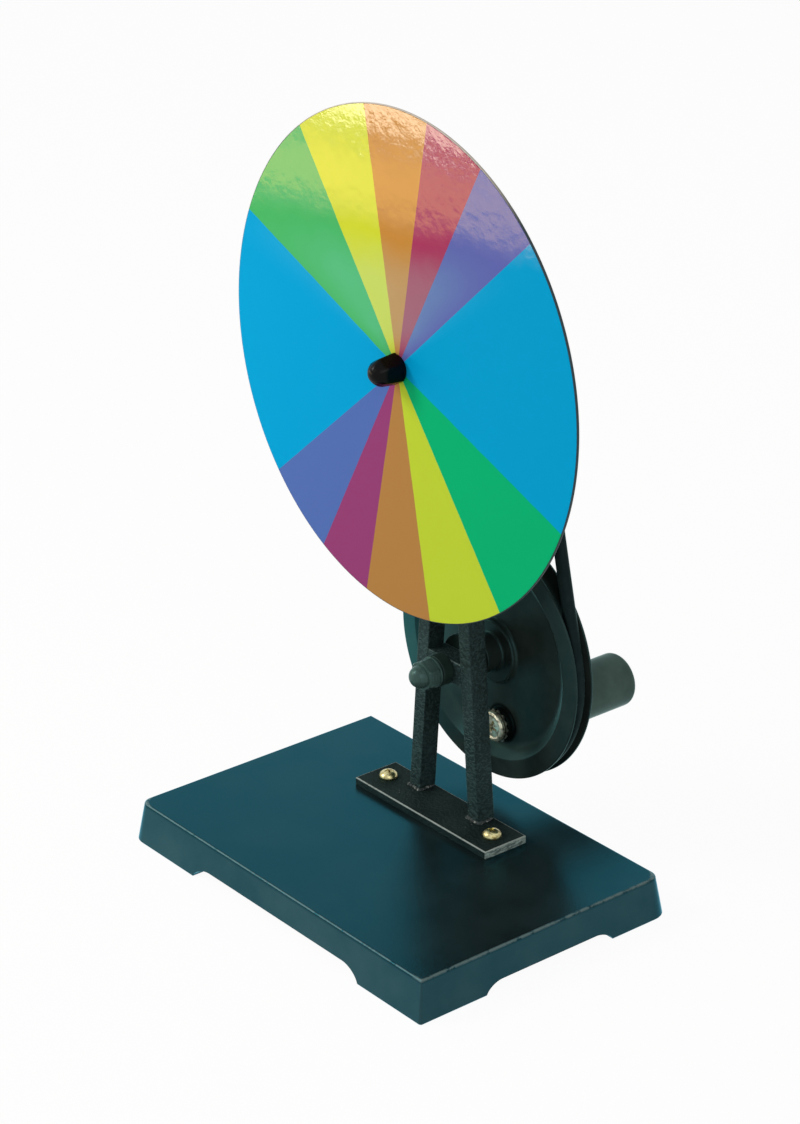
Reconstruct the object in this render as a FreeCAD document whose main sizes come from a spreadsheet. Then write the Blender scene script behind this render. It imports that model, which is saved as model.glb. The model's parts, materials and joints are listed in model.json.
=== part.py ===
"""Newton color disc with crank: a hand-driven demonstration stand.

Millimetres, +Z up. The origin is on the table, under the middle of the base. X runs along the
base's long side, the disc faces -Y, and both shafts lie along Y.
"""
import FreeCAD, Part
import math
import os
import re
import Sketcher

doc = FreeCAD.newDocument("newton_color_disc")

# Driving dimensions: name, millimetres or degrees, what it is
SIZES = [
    ("base_length", "165.8", "base along X, at the table"),
    ("base_width", "113.3", "base along Y, at the table"),
    ("base_height", "14.8", "table to the base's top"),
    ("base_draft", "2.9", "how far each side slopes in over the height"),
    ("base_wall", "5", "side wall of the hollow casting"),
    ("base_top_wall", "5", "top wall of the hollow casting"),
    ("base_corner_round", "3.6", "upright corners of the base"),
    ("base_edge_round", "1", "edge round the base's top"),
    ("cavity_corner_round", "4", "inner corners of the casting"),
    ("foot_length_x", "36", "corner foot along the long side"),
    ("foot_length_y", "28", "corner foot along the short side"),
    ("arch_height", "4.7", "opening between two feet"),
    ("arch_round", "4.5", "curved ends of that opening"),
    ("screw_boss_radius", "7", "round boss under each foot screw"),
    ("screw_boss_height", "1.5", "its height below the top wall"),
    ("stand_x", "-3.4", "middle of the stand, from the base's middle"),
    ("plate_middle", "23.7", "foot plate's middle, behind the base's middle"),
    ("plate_length", "72.8", "foot plate along X"),
    ("plate_width", "19", "foot plate along Y"),
    ("plate_thickness", "3", "foot plate"),
    ("plate_edge_round", "0.4", "rubbed edges of the foot plate"),
    ("bar_width", "5.9", "uprights' flat bar along X"),
    ("bar_depth", "7.4", "uprights' flat bar along Y"),
    ("foot_spacing", "32.8", "between the uprights' centre lines, at the plate"),
    ("head_gap", "0.2", "between the uprights, where they meet under the spindle tube"),
    ("cross_bar_height", "8.6", "cross bar, up and down"),
    ("cross_bar_depth", "8", "cross bar along Y"),
    ("axle_height", "72.3", "crank axle above the table"),
    ("spindle_height", "189.9", "disc spindle above the table"),
    ("shaft_radius", "3", "axle and spindle"),
    ("boss_radius", "7", "axle bosses and spindle tube, outside"),
    ("bush_radius", "4.5", "brass bushes, outside"),
    ("bush_length", "4", "brass bushes"),
    ("front_boss_length", "4.6", "front axle boss"),
    ("rear_boss_length", "5.5", "rear axle boss"),
    ("spindle_tube_length", "20.5", "spindle tube"),
    ("spindle_tube_reach", "9.5", "spindle tube in front of the bars' middle"),
    ("end_play", "0.3", "shafts, lengthways, at each end"),
    ("thrust_radius", "5", "thrust washers, outside"),
    ("thrust_thickness", "0.8", "thrust washers"),
    ("running_clearance", "0.05", "radial, shaft in bush and sleeve in web"),
    ("seat_clearance", "0.02", "radial, pieces fixed to a shaft"),
    ("hole_clearance", "0.25", "radial, screws through plain holes"),
    ("belt_offset", "20.25", "belt's middle plane behind the bars' middle"),
    ("belt_diameter", "4.8", "round belt"),
    ("belt_clearance", "0.3", "belt to groove"),
    ("drive_pitch_radius", "43.9", "belt's centre line round the drive wheel"),
    ("small_pitch_radius", "17.7", "belt's centre line round the small pulley"),
    ("rim_depth", "3.4", "belt's centre line to the pulleys' rims"),
    ("pulley_width", "8.1", "both pulleys across their rims"),
    ("groove_flare", "0.5", "how much each groove wall opens towards the rim"),
    ("rim_round", "0.4", "pulley rim edges"),
    ("rim_band", "7", "drive wheel's flat rim band, seen from the front"),
    ("rim_slope", "4.3", "sloping wall between that band and the web, seen from the front"),
    ("web_setback", "3.8", "web behind the front of the rim"),
    ("web_thickness", "2.6", "drive wheel's web"),
    ("web_round", "4", "soft corner between web and rim"),
    ("wheel_hub_radius", "7", "drive wheel's hub"),
    ("wheel_boss_radius", "12", "low boss round that hub"),
    ("wheel_boss_height", "2", "its height before the web"),
    ("crank_boss_radius", "6.3", "moulded boss round the crank screw"),
    ("crank_boss_height", "2.3", "its height before the web"),
    ("wheel_boss_round", "0.5", "edges of both bosses"),
    ("small_hub_radius", "8", "small pulley's hub"),
    ("grub_radius", "1.5", "grub screws"),
    ("cap_nut_width", "10", "axle cap nut across its flats"),
    ("cap_nut_hex", "4.8", "height of its hexagon"),
    ("cap_nut_dome_radius", "4.6", "its dome"),
    ("cap_nut_length", "9.1", "the whole nut"),
    ("crank_radius", "28", "axle to crank screw"),
    ("crank_rest_angle", "9.5", "degrees from straight down, towards +X"),
    ("crank_screw_radius", "2.5", "crank screw's shank"),
    ("crank_head_radius", "5.6", "its head"),
    ("crank_head_height", "3.2", "its head"),
    ("crank_screw_length", "24", "its shank"),
    ("crank_washer_radius", "6.4", "washer under the head"),
    ("crank_washer_thickness", "0.9", "washer under the head"),
    ("sleeve_radius", "4", "crank sleeve, outside"),
    ("handle_radius", "10.2", "grip"),
    ("handle_length", "52.4", "grip"),
    ("handle_gap", "0.5", "grip to the wheel's back"),
    ("handle_end_round", "2.3", "grip's free end"),
    ("handle_front_round", "0.6", "grip's end at the wheel"),
    ("disc_radius", "89", "color disc"),
    ("disc_thickness", "1.2", "color disc"),
    ("disc_hub_length", "12.4", "hub behind the disc"),
    ("disc_hub_radius", "7.5", "hub's neck"),
    ("disc_flange_radius", "16", "hub's flange"),
    ("disc_flange_thickness", "2.5", "hub's flange"),
    ("knob_length", "11.6", "disc knob"),
    ("knob_base_width", "10.4", "knob across its flats, at the disc"),
    ("knob_tip_width", "7.8", "knob across its flats, at the tip"),
    ("knob_tip_round", "3.4", "knob's domed tip"),
    ("knob_hole_depth", "8", "spindle's end in the knob"),
    ("foot_screw_spacing", "58", "between the two foot screws"),
    ("foot_screw_radius", "2", "foot screw's shank"),
    ("foot_screw_length", "14.5", "foot screw's shank"),
    ("foot_head_radius", "3.45", "foot screw's head"),
    ("foot_head_height", "2.7", "foot screw's head"),
    ("foot_head_round", "1.7", "foot screw's domed head"),
    ("foot_washer_radius", "4.5", "washer under the base's top wall"),
    ("foot_washer_thickness", "0.8", "that washer"),
    ("foot_nut_width", "7", "nut across its flats"),
    ("foot_nut_height", "3", "nut"),
]

# Places worked out from the driving dimensions, each from the ones before it
PLACES = [
    ("cavity_height", "base_height - base_top_wall"),
    ("plate_top", "base_height + plate_thickness"),
    ("plate_rear", "plate_middle + plate_width / 2"),
    ("bar_front", "plate_rear - bar_depth"),
    ("bar_middle", "plate_rear - bar_depth / 2"),
    ("lean", "(foot_spacing - head_gap - bar_width) / 2 / (spindle_height - boss_radius - plate_top)"),
    ("cross_low", "axle_height - cross_bar_height / 2"),
    ("cross_high", "axle_height + cross_bar_height / 2"),
    ("cross_rear", "bar_front + cross_bar_depth"),
    ("front_boss_face", "bar_front - front_boss_length"),
    ("rear_boss_face", "cross_rear + rear_boss_length"),
    ("bore_radius", "shaft_radius + running_clearance"),
    ("seat_radius", "shaft_radius + seat_clearance"),
    ("thrust_gap", "end_play + thrust_thickness"),
    ("belt_plane", "bar_middle + belt_offset"),
    ("pulley_half", "pulley_width / 2"),
    ("drive_radius", "drive_pitch_radius + rim_depth"),
    ("small_radius", "small_pitch_radius + rim_depth"),
    ("groove_radius", "belt_diameter / 2 + belt_clearance"),
    ("pulley_rear", "belt_plane + pulley_half"),
    ("crank_boss_face", "belt_plane - pulley_half + web_setback - crank_boss_height"),
    ("wheel_hub_front", "rear_boss_face + thrust_gap"),
    ("cap_nut_base", "front_boss_face - thrust_gap"),
    ("tube_front", "bar_middle - spindle_tube_reach"),
    ("tube_rear", "tube_front + spindle_tube_length"),
    ("small_hub_front", "tube_rear + thrust_gap"),
    ("disc_back", "tube_front - thrust_gap - disc_hub_length"),
    ("disc_front", "disc_back - disc_thickness"),
    ("crank_x", "stand_x + crank_radius * sin(crank_rest_angle * 1 deg)"),
    ("crank_z", "axle_height - crank_radius * cos(crank_rest_angle * 1 deg)"),
    ("handle_front", "pulley_rear + handle_gap"),
    ("sleeve_front", "crank_boss_face - end_play"),
    ("screw_x", "stand_x - foot_screw_spacing / 2"),
    ("boss_low", "cavity_height - screw_boss_height"),
    ("screw_hole_radius", "foot_screw_radius + hole_clearance"),
]

sizes = doc.addObject("Spreadsheet::Sheet", "Sizes")
for row, (name, amount, note) in enumerate(SIZES, start=1):
    sizes.set(f"A{row}", name)
    sizes.set(f"B{row}", amount)
    sizes.set(f"C{row}", note)
    sizes.setAlias(f"B{row}", name)
doc.recompute()

places = doc.addObject("App::VarSet", "Places")
SIZE_NAMES = {name for name, _, _ in SIZES}
PLACE_NAMES = {name for name, _ in PLACES}


def formula(text):
    """Write each name in a formula with the sheet or set that holds it."""
    def full_name(match):
        word = match.group()
        if word in SIZE_NAMES:
            return "Sizes." + word
        if word in PLACE_NAMES:
            return "Places." + word
        return word
    return re.sub(r"[a-z][a-z_0-9]*", full_name, text)


for name, text in PLACES:
    places.addProperty("App::PropertyFloat", name, "Places")
    places.setExpression(name, formula(text))
places.addProperty("App::PropertyFloat", "probe", "Places")
doc.recompute()


def number(text):
    """What a formula comes to, for picking edges and for a first guess at a sketch."""
    places.setExpression("probe", formula(text))
    places.recompute()
    return places.probe


def bind(thing, property_name, text):
    thing.setExpression(property_name, formula(text))


def new_body(name, x="0", y="0", z="0"):
    """An empty body whose place in the frame follows three formulas."""
    body = doc.addObject("PartDesign::Body", name)
    body.Label = name
    body.AllowCompound = True
    bind(body, "Placement.Base.x", x)
    bind(body, "Placement.Base.y", y)
    bind(body, "Placement.Base.z", z)
    return body


def new_sketch(body, name, role, offset="0"):
    """A sketch on one of the body's own origin planes, shifted along the plane's normal."""
    plane = next(feature for feature in body.Origin.OriginFeatures if feature.Role == role)
    sketch = body.newObject("Sketcher::SketchObject", name)
    sketch.AttachmentSupport = [(plane, "")]
    sketch.MapMode = "FlatFace"
    bind(sketch, "AttachmentOffset.Base.z", offset)
    return sketch


def hold_point(sketch, edge, end, x, y):
    """Bind one point of a sketch to two formulas."""
    across = sketch.addConstraint(Sketcher.Constraint("DistanceX", edge, end, number(x)))
    bind(sketch, f"Constraints[{across}]", x)
    upward = sketch.addConstraint(Sketcher.Constraint("DistanceY", edge, end, number(y)))
    bind(sketch, f"Constraints[{upward}]", y)


def add_outline(sketch, corners):
    """A closed outline of straight lines through the corners, each a pair of formulas."""
    start = sketch.GeometryCount
    points = [FreeCAD.Vector(number(x), number(y), 0) for x, y in corners]
    count = len(points)
    for i in range(count):
        sketch.addGeometry(Part.LineSegment(points[i], points[(i + 1) % count]), False)
    for i in range(count):
        following = start + (i + 1) % count
        sketch.addConstraint(Sketcher.Constraint("Coincident", start + i, 2, following, 1))
    for i, (x, y) in enumerate(corners):
        hold_point(sketch, start + i, 1, x, y)


def add_circle(sketch, radius, x="0", y="0"):
    middle = FreeCAD.Vector(number(x), number(y), 0)
    normal = FreeCAD.Vector(0, 0, 1)
    edge = sketch.addGeometry(Part.Circle(middle, normal, number(radius)), False)
    size = sketch.addConstraint(Sketcher.Constraint("Radius", edge, number(radius)))
    bind(sketch, f"Constraints[{size}]", radius)
    hold_point(sketch, edge, 3, x, y)


def box_corners(half_x, half_y):
    """The four corners of a rectangle round the sketch's origin."""
    return [(f"-({half_x})", f"-({half_y})"), (half_x, f"-({half_y})"),
            (half_x, half_y), (f"-({half_x})", half_y)]


def hexagon(width):
    """The six corners of a hexagon with the given width across its flats."""
    radius = f"({width}) / 2 / cos(30 deg)"
    return [(f"{radius} * cos({turn} deg)", f"{radius} * sin({turn} deg)")
            for turn in range(30, 390, 60)]


def turn_profile(body, name, corners, role="XY_Plane"):
    """Revolve an outline about the sketch's upright axis: Y on the XY plane, Z on the XZ plane."""
    sketch = new_sketch(body, name + "_profile", role)
    add_outline(sketch, corners)
    feature = body.newObject("PartDesign::Revolution", name)
    feature.Profile = sketch
    feature.ReferenceAxis = (sketch, ["V_Axis"])
    feature.Angle = 360
    return feature


def turn_away(body, name, sketch):
    """Cut a revolved groove about the sketch's upright axis."""
    feature = body.newObject("PartDesign::Groove", name)
    feature.Profile = sketch
    feature.ReferenceAxis = (sketch, ["V_Axis"])
    feature.Angle = 360
    return feature


def pad(body, name, sketch, length, back=False):
    feature = body.newObject("PartDesign::Pad", name)
    feature.Profile = sketch
    feature.Reversed = back
    bind(feature, "Length", length)
    return feature


def pocket(body, name, sketch, length, back=False):
    feature = body.newObject("PartDesign::Pocket", name)
    feature.Profile = sketch
    feature.Reversed = back
    bind(feature, "Length", length)
    return feature


def pocket_through(body, name, sketch):
    """Cut all the way through, to both sides of the sketch."""
    feature = body.newObject("PartDesign::Pocket", name)
    feature.Profile = sketch
    feature.Type = "ThroughAll"
    feature.SideType = "Symmetric"
    return feature


def repeat(body, name, feature, axis, distance):
    """A second copy of a feature, at a distance along one of its sketch's axes."""
    pattern = body.newObject("PartDesign::LinearPattern", name)
    pattern.Originals = [feature]
    pattern.Direction = (feature.Profile[0], [axis])
    pattern.Occurrences = 2
    bind(pattern, "Length", distance)
    body.Tip = pattern
    return pattern


def round_edges(body, name, radius, chosen):
    """Fillet the edges of the body that a test picks."""
    doc.recompute()
    base = body.Tip
    edges = [f"Edge{i}" for i, edge in enumerate(base.Shape.Edges, start=1) if chosen(edge)]
    feature = body.newObject("PartDesign::Fillet", name)
    feature.Base = (base, edges)
    bind(feature, "Radius", radius)
    return feature


def near(a, b):
    return abs(a - b) < 0.01


def ring_at(edge, radius, height, across=0):
    """Whether an edge is a circle in local XZ with this radius, this Y and this X of its middle."""
    curve = edge.Curve
    if not isinstance(curve, Part.Circle):
        return False
    middle = curve.Center
    return near(curve.Radius, radius) and near(middle.y, height) and near(middle.x, across)


def straight_along(edge, axis):
    """Whether an edge is a straight line along X, Y or Z."""
    if not isinstance(edge.Curve, Part.Line):
        return False
    return near(abs(getattr(edge.Curve.Direction, axis)), 1)


def make_base():
    """Hollow casting with sloping sides, on four corner feet between shallow arches."""
    body = new_body("base")
    low = new_sketch(body, "footprint", "XY_Plane")
    add_outline(low, box_corners("base_length / 2", "base_width / 2"))
    block = pad(body, "block", low, "base_height")
    bind(block, "TaperAngle", "-atan(base_draft / base_height)")
    top = number("base_height")

    def is_corner(edge):
        ends = [vertex.Z for vertex in edge.Vertexes]
        return near(min(ends), 0) and near(max(ends), top)

    round_edges(body, "corners", "base_corner_round", is_corner)
    round_edges(body, "top_edge", "base_edge_round",
                lambda edge: all(near(vertex.Z, top) for vertex in edge.Vertexes))

    inside = new_sketch(body, "cavity_outline", "XY_Plane")
    add_outline(inside, box_corners("base_length / 2 - base_draft - base_wall",
                                    "base_width / 2 - base_draft - base_wall"))
    pocket(body, "cavity", inside, "cavity_height", back=True)
    wall_x = number("base_length / 2 - base_draft - base_wall")
    round_edges(body, "cavity_corners", "cavity_corner_round",
                lambda edge: straight_along(edge, "z") and near(abs(edge.Vertexes[0].X), wall_x))

    bosses = new_sketch(body, "boss_outline", "XY_Plane", "boss_low")
    add_circle(bosses, "screw_boss_radius", "screw_x", "plate_middle")
    boss = pad(body, "screw_boss", bosses, "screw_boss_height")
    repeat(body, "screw_bosses", boss, "H_Axis", "foot_screw_spacing")
    holes = new_sketch(body, "screw_hole_outline", "XY_Plane")
    add_circle(holes, "screw_hole_radius", "screw_x", "plate_middle")
    hole = pocket(body, "screw_hole", holes, "base_height", back=True)
    repeat(body, "screw_holes", hole, "H_Axis", "foot_screw_spacing")

    arches = (("long", "XZ_Plane", "base_length / 2 - foot_length_x", "y"),
              ("short", "YZ_Plane", "base_width / 2 - foot_length_y", "x"))
    for side, role, half, along in arches:
        arch = new_sketch(body, side + "_arch_outline", role)
        add_outline(arch, [(f"-({half})", "-1"), (half, "-1"),
                           (half, "arch_height"), (f"-({half})", "arch_height")])
        pocket_through(body, side + "_arches", arch)
        height = number("arch_height")
        reach = number(half)
        across = "x" if along == "y" else "y"

        def is_arch_end(edge, along=along, across=across, height=height, reach=reach):
            middle = edge.BoundBox.Center
            return (straight_along(edge, along) and near(middle.z, height)
                    and near(abs(getattr(middle, across)), reach))

        round_edges(body, side + "_arch_ends", "arch_round", is_arch_end)


def make_foot_plate():
    body = new_body("foot_plate", "stand_x", "plate_middle", "base_height")
    strap = new_sketch(body, "strap_outline", "XY_Plane")
    add_outline(strap, box_corners("plate_length / 2", "plate_width / 2"))
    for side in ("-", ""):
        add_circle(strap, "screw_hole_radius", side + "foot_screw_spacing / 2")
    pad(body, "strap", strap, "plate_thickness")
    top = number("plate_thickness")
    round_edges(body, "rubbed_edges", "plate_edge_round",
                lambda edge: isinstance(edge.Curve, Part.Line) and near(edge.BoundBox.ZMin, top))


def bar_edge(height, side):
    """How far a face of the leaning bar is from the stand's middle at a height: side -1 or 1."""
    return f"foot_spacing / 2 - lean * (({height}) - plate_top) + ({side}) * bar_width / 2"


def make_uprights():
    """Two bars that lean together, coped at the top to fit under the spindle tube."""
    for name, sign in (("left_upright", "-"), ("right_upright", "")):
        body = new_body(name, "stand_x", "bar_front")
        bar = new_sketch(body, "bar_outline", "XZ_Plane")
        add_outline(bar, [(f"{sign}({bar_edge('plate_top', -1)})", "plate_top"),
                          (f"{sign}({bar_edge('plate_top', 1)})", "plate_top"),
                          (f"{sign}({bar_edge('spindle_height', 1)})", "spindle_height"),
                          (f"{sign}({bar_edge('spindle_height', -1)})", "spindle_height")])
        pad(body, "bar", bar, "bar_depth", back=True)
        cope = new_sketch(body, "cope_outline", "XZ_Plane")
        add_circle(cope, "boss_radius", "0", "spindle_height")
        pocket_through(body, "cope", cope)


def make_cross_bar():
    body = new_body("cross_bar", "stand_x", "bar_front")
    block = new_sketch(body, "block_outline", "XZ_Plane")
    add_outline(block, [(f"-({bar_edge('cross_low', -1)})", "cross_low"),
                        (bar_edge("cross_low", -1), "cross_low"),
                        (bar_edge("cross_high", -1), "cross_high"),
                        (f"-({bar_edge('cross_high', -1)})", "cross_high")])
    add_circle(block, "shaft_radius + hole_clearance", "0", "axle_height")
    pad(body, "block", block, "cross_bar_depth", back=True)


def make_sleeve(name, start, length, outer, inner, height):
    """A plain ring or tube about one of the two shafts."""
    body = new_body(name, "stand_x", start, height)
    turn_profile(body, "ring", [(inner, "0"), (outer, "0"), (outer, length), (inner, length)])
    return body


def make_pair(name, start, spacing, length, outer, inner, height):
    """Two equal rings about one shaft, a distance apart."""
    body = make_sleeve(name, start, length, outer, inner, height)
    repeat(body, "pair", body.Tip, "V_Axis", spacing)


def make_bearings():
    """Bosses on the cross bar, the spindle tube, their bushes and thrust washers."""
    bush_seat = "bush_radius + seat_clearance"
    make_sleeve("front_axle_boss", "front_boss_face", "front_boss_length", "boss_radius", bush_seat,
                "axle_height")
    make_sleeve("rear_axle_boss", "cross_rear", "rear_boss_length", "boss_radius", bush_seat,
                "axle_height")
    make_sleeve("spindle_tube", "tube_front", "spindle_tube_length", "boss_radius", bush_seat,
                "spindle_height")
    make_pair("axle_bushes", "front_boss_face", "rear_boss_face - front_boss_face - bush_length",
              "bush_length", "bush_radius", "bore_radius", "axle_height")
    make_pair("spindle_bushes", "tube_front", "spindle_tube_length - bush_length",
              "bush_length", "bush_radius", "bore_radius", "spindle_height")
    make_pair("axle_washers", "cap_nut_base", "wheel_hub_front - thrust_thickness - cap_nut_base",
              "thrust_thickness", "thrust_radius", "seat_radius", "axle_height")
    make_pair("spindle_washers", "tube_front - thrust_gap",
              "small_hub_front - thrust_thickness - tube_front + thrust_gap",
              "thrust_thickness", "thrust_radius", "seat_radius", "spindle_height")


def make_shafts():
    """Plain shafts, each from inside its front nut or knob to just behind its pulley."""
    end = "1"
    shafts = (("axle", "cap_nut_base - cap_nut_hex - 1", "axle_height"),
              ("spindle", "disc_front - knob_hole_depth", "spindle_height"))
    for name, start, height in shafts:
        body = new_body(name, "stand_x", start, height)
        length = f"pulley_rear + {end} - ({start})"
        turn_profile(body, "shaft", [("0", "0"), ("shaft_radius", "0"), ("shaft_radius", length),
                                     ("0", length)])


def cut_belt_groove(body, pitch_radius):
    """A round-bottomed belt groove with walls that open a little towards the rim."""
    deep = new_sketch(body, "groove_bottom", "XY_Plane")
    add_circle(deep, "groove_radius", pitch_radius)
    turn_away(body, "groove_floor", deep)
    rim = f"{pitch_radius} + rim_depth + 1"
    mouth = new_sketch(body, "groove_mouth", "XY_Plane")
    add_outline(mouth, [(pitch_radius, "-groove_radius"), (rim, "-groove_radius - groove_flare"),
                        (rim, "groove_radius + groove_flare"), (pitch_radius, "groove_radius")])
    turn_away(body, "groove_walls", mouth)


def cut_grub_hole(body, place, outer):
    """A radial hole through a hub, upwards from its bore."""
    hole = new_sketch(body, "grub_outline", "XY_Plane")
    add_circle(hole, "grub_radius + seat_clearance", "0", place)
    pocket(body, "grub_hole", hole, f"{outer} + 1", back=True)


def make_drive_wheel():
    """Moulded pulley: a rim band that slopes in to a dished web, and a hub towards the stand."""
    body = new_body("drive_wheel", "stand_x", "belt_plane", "axle_height")
    hub_start = "wheel_hub_front - belt_plane"
    web_front = "web_setback - pulley_half"
    web_back = "web_setback - pulley_half + web_thickness"
    boss_face = "web_setback - pulley_half - wheel_boss_height"
    band = "drive_radius - rim_band"
    slope = "drive_radius - rim_band - rim_slope"
    turn_profile(body, "wheel", [
        ("seat_radius", hub_start), ("wheel_hub_radius", hub_start),
        ("wheel_hub_radius", boss_face), ("wheel_boss_radius", boss_face),
        ("wheel_boss_radius", web_front), (slope, web_front), (band, "-pulley_half"),
        ("drive_radius", "-pulley_half"), ("drive_radius", "pulley_half"), (band, "pulley_half"),
        (slope, web_back), ("wheel_boss_radius", web_back), ("wheel_boss_radius", "pulley_half"),
        ("seat_radius", "pulley_half")])
    place = ("crank_x - stand_x", "crank_z - axle_height")
    middle = "pulley_half - web_setback - web_thickness / 2"
    boss = new_sketch(body, "crank_boss_outline", "XZ_Plane", middle)
    add_circle(boss, "crank_boss_radius", *place)
    pad(body, "crank_boss", boss, "web_thickness / 2 + crank_boss_height")

    inner = number(band)
    corner = number(slope)
    outer = number("drive_radius")
    face = number("pulley_half")
    web_faces = (number(web_front), number(web_back))
    round_edges(body, "web_corners", "web_round",
                lambda edge: any(ring_at(edge, corner, height) for height in web_faces))
    round_edges(body, "rim_edges", "rim_round",
                lambda edge: any(ring_at(edge, radius, height)
                                 for radius in (inner, outer) for height in (-face, face)))
    bosses = ((number("wheel_boss_radius"), number(boss_face), 0),
              (number("crank_boss_radius"), number("crank_boss_face - belt_plane"), number(place[0])))
    round_edges(body, "boss_edges", "wheel_boss_round",
                lambda edge: any(ring_at(edge, *ring) for ring in bosses))
    cut_belt_groove(body, "drive_pitch_radius")
    crank = new_sketch(body, "crank_hole_outline", "XZ_Plane")
    add_circle(crank, "sleeve_radius + running_clearance", *place)
    pocket_through(body, "crank_hole", crank)
    cut_grub_hole(body, f"({hub_start} - pulley_half) / 2", "wheel_hub_radius")


def make_small_pulley():
    body = new_body("small_pulley", "stand_x", "belt_plane", "spindle_height")
    hub_start = "small_hub_front - belt_plane"
    turn_profile(body, "pulley", [
        ("seat_radius", hub_start), ("small_hub_radius", hub_start),
        ("small_hub_radius", "-pulley_half"), ("small_radius", "-pulley_half"),
        ("small_radius", "pulley_half"), ("seat_radius", "pulley_half")])
    outer = number("small_radius")
    face = number("pulley_half")
    round_edges(body, "rim_edges", "rim_round",
                lambda edge: any(ring_at(edge, outer, place) for place in (-face, face)))
    cut_belt_groove(body, "small_pitch_radius")
    cut_grub_hole(body, f"({hub_start} - pulley_half) / 2", "small_hub_radius")


def make_disc_hub():
    """Flanged hub that backs the disc; the knob clamps the disc against it."""
    body = new_body("disc_hub", "stand_x", "disc_back", "spindle_height")
    turn_profile(body, "hub", [
        ("seat_radius", "0"), ("disc_flange_radius", "0"),
        ("disc_flange_radius", "disc_flange_thickness"),
        ("disc_hub_radius", "disc_flange_thickness"), ("disc_hub_radius", "disc_hub_length"),
        ("seat_radius", "disc_hub_length")])
    cut_grub_hole(body, "(disc_flange_thickness + disc_hub_length) / 2", "disc_hub_radius")


def make_grub_screws():
    """One grub screw upwards from each hub's bore to its surface."""
    wheel = new_body("wheel_grub_screw", "stand_x", "0", "axle_height")
    place = "(wheel_hub_front + belt_plane - pulley_half) / 2"
    screw = new_sketch(wheel, "screw_outline", "XY_Plane", "shaft_radius")
    add_circle(screw, "grub_radius", "0", place)
    pad(wheel, "screw", screw, "wheel_hub_radius - shaft_radius")

    both = new_body("spindle_grub_screws", "stand_x", "0", "spindle_height")
    seats = (("hub", "disc_back + (disc_flange_thickness + disc_hub_length) / 2", "disc_hub_radius"),
             ("pulley", "(small_hub_front + belt_plane - pulley_half) / 2", "small_hub_radius"))
    for name, place, outer in seats:
        screw = new_sketch(both, name + "_screw_outline", "XY_Plane", "shaft_radius")
        add_circle(screw, "grub_radius", "0", place)
        pad(both, name + "_screw", screw, f"{outer} - shaft_radius")


def make_color_disc():
    make_sleeve("color_disc", "disc_front", "disc_thickness", "disc_radius", "seat_radius",
                "spindle_height")


def make_disc_knob():
    """Six-sided knob that narrows to a domed tip, with a blind hole for the spindle's end."""
    body = new_body("disc_knob", "stand_x", "disc_front", "spindle_height")
    wide = new_sketch(body, "base_outline", "XZ_Plane")
    add_outline(wide, hexagon("knob_base_width"))
    narrow = new_sketch(body, "tip_outline", "XZ_Plane", "knob_length")
    add_outline(narrow, hexagon("knob_tip_width"))
    flats = body.newObject("PartDesign::AdditiveLoft", "flats")
    flats.Profile = wide
    flats.Sections = [narrow]
    flats.Ruled = True
    tip = number("-knob_length")
    round_edges(body, "domed_tip", "knob_tip_round",
                lambda edge: all(near(vertex.Y, tip) for vertex in edge.Vertexes))
    hole = new_sketch(body, "hole_outline", "XZ_Plane")
    add_circle(hole, "seat_radius")
    pocket(body, "hole", hole, "knob_hole_depth + seat_clearance", back=True)


def make_cap_nut():
    """Domed hexagon nut on the axle's front end."""
    body = new_body("axle_cap_nut", "stand_x", "cap_nut_base", "axle_height")
    sides = new_sketch(body, "hexagon_outline", "XZ_Plane")
    add_outline(sides, hexagon("cap_nut_width"))
    pad(body, "hexagon", sides, "cap_nut_hex")
    turn_profile(body, "dome", [("0", "0"), ("cap_nut_dome_radius", "0"),
                                ("cap_nut_dome_radius", "-cap_nut_length"),
                                ("0", "-cap_nut_length")])
    radius = number("cap_nut_dome_radius")
    tip = number("-cap_nut_length")
    round_edges(body, "dome_round", "cap_nut_length - cap_nut_hex - 0.1",
                lambda edge: ring_at(edge, radius, tip))
    bevel = new_sketch(body, "bevel_outline", "XY_Plane")
    corner = "cap_nut_width / 2 / cos(30 deg)"
    add_outline(bevel, [("cap_nut_width / 2", "-cap_nut_hex"), (f"{corner} + 0.1", "-cap_nut_hex"),
                        (f"{corner} + 0.1", "-cap_nut_hex + 0.6")])
    turn_away(body, "bevel", bevel)
    hole = new_sketch(body, "hole_outline", "XZ_Plane")
    add_circle(hole, "seat_radius")
    pocket(body, "hole", hole, "cap_nut_hex + 1 + seat_clearance", back=True)


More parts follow.
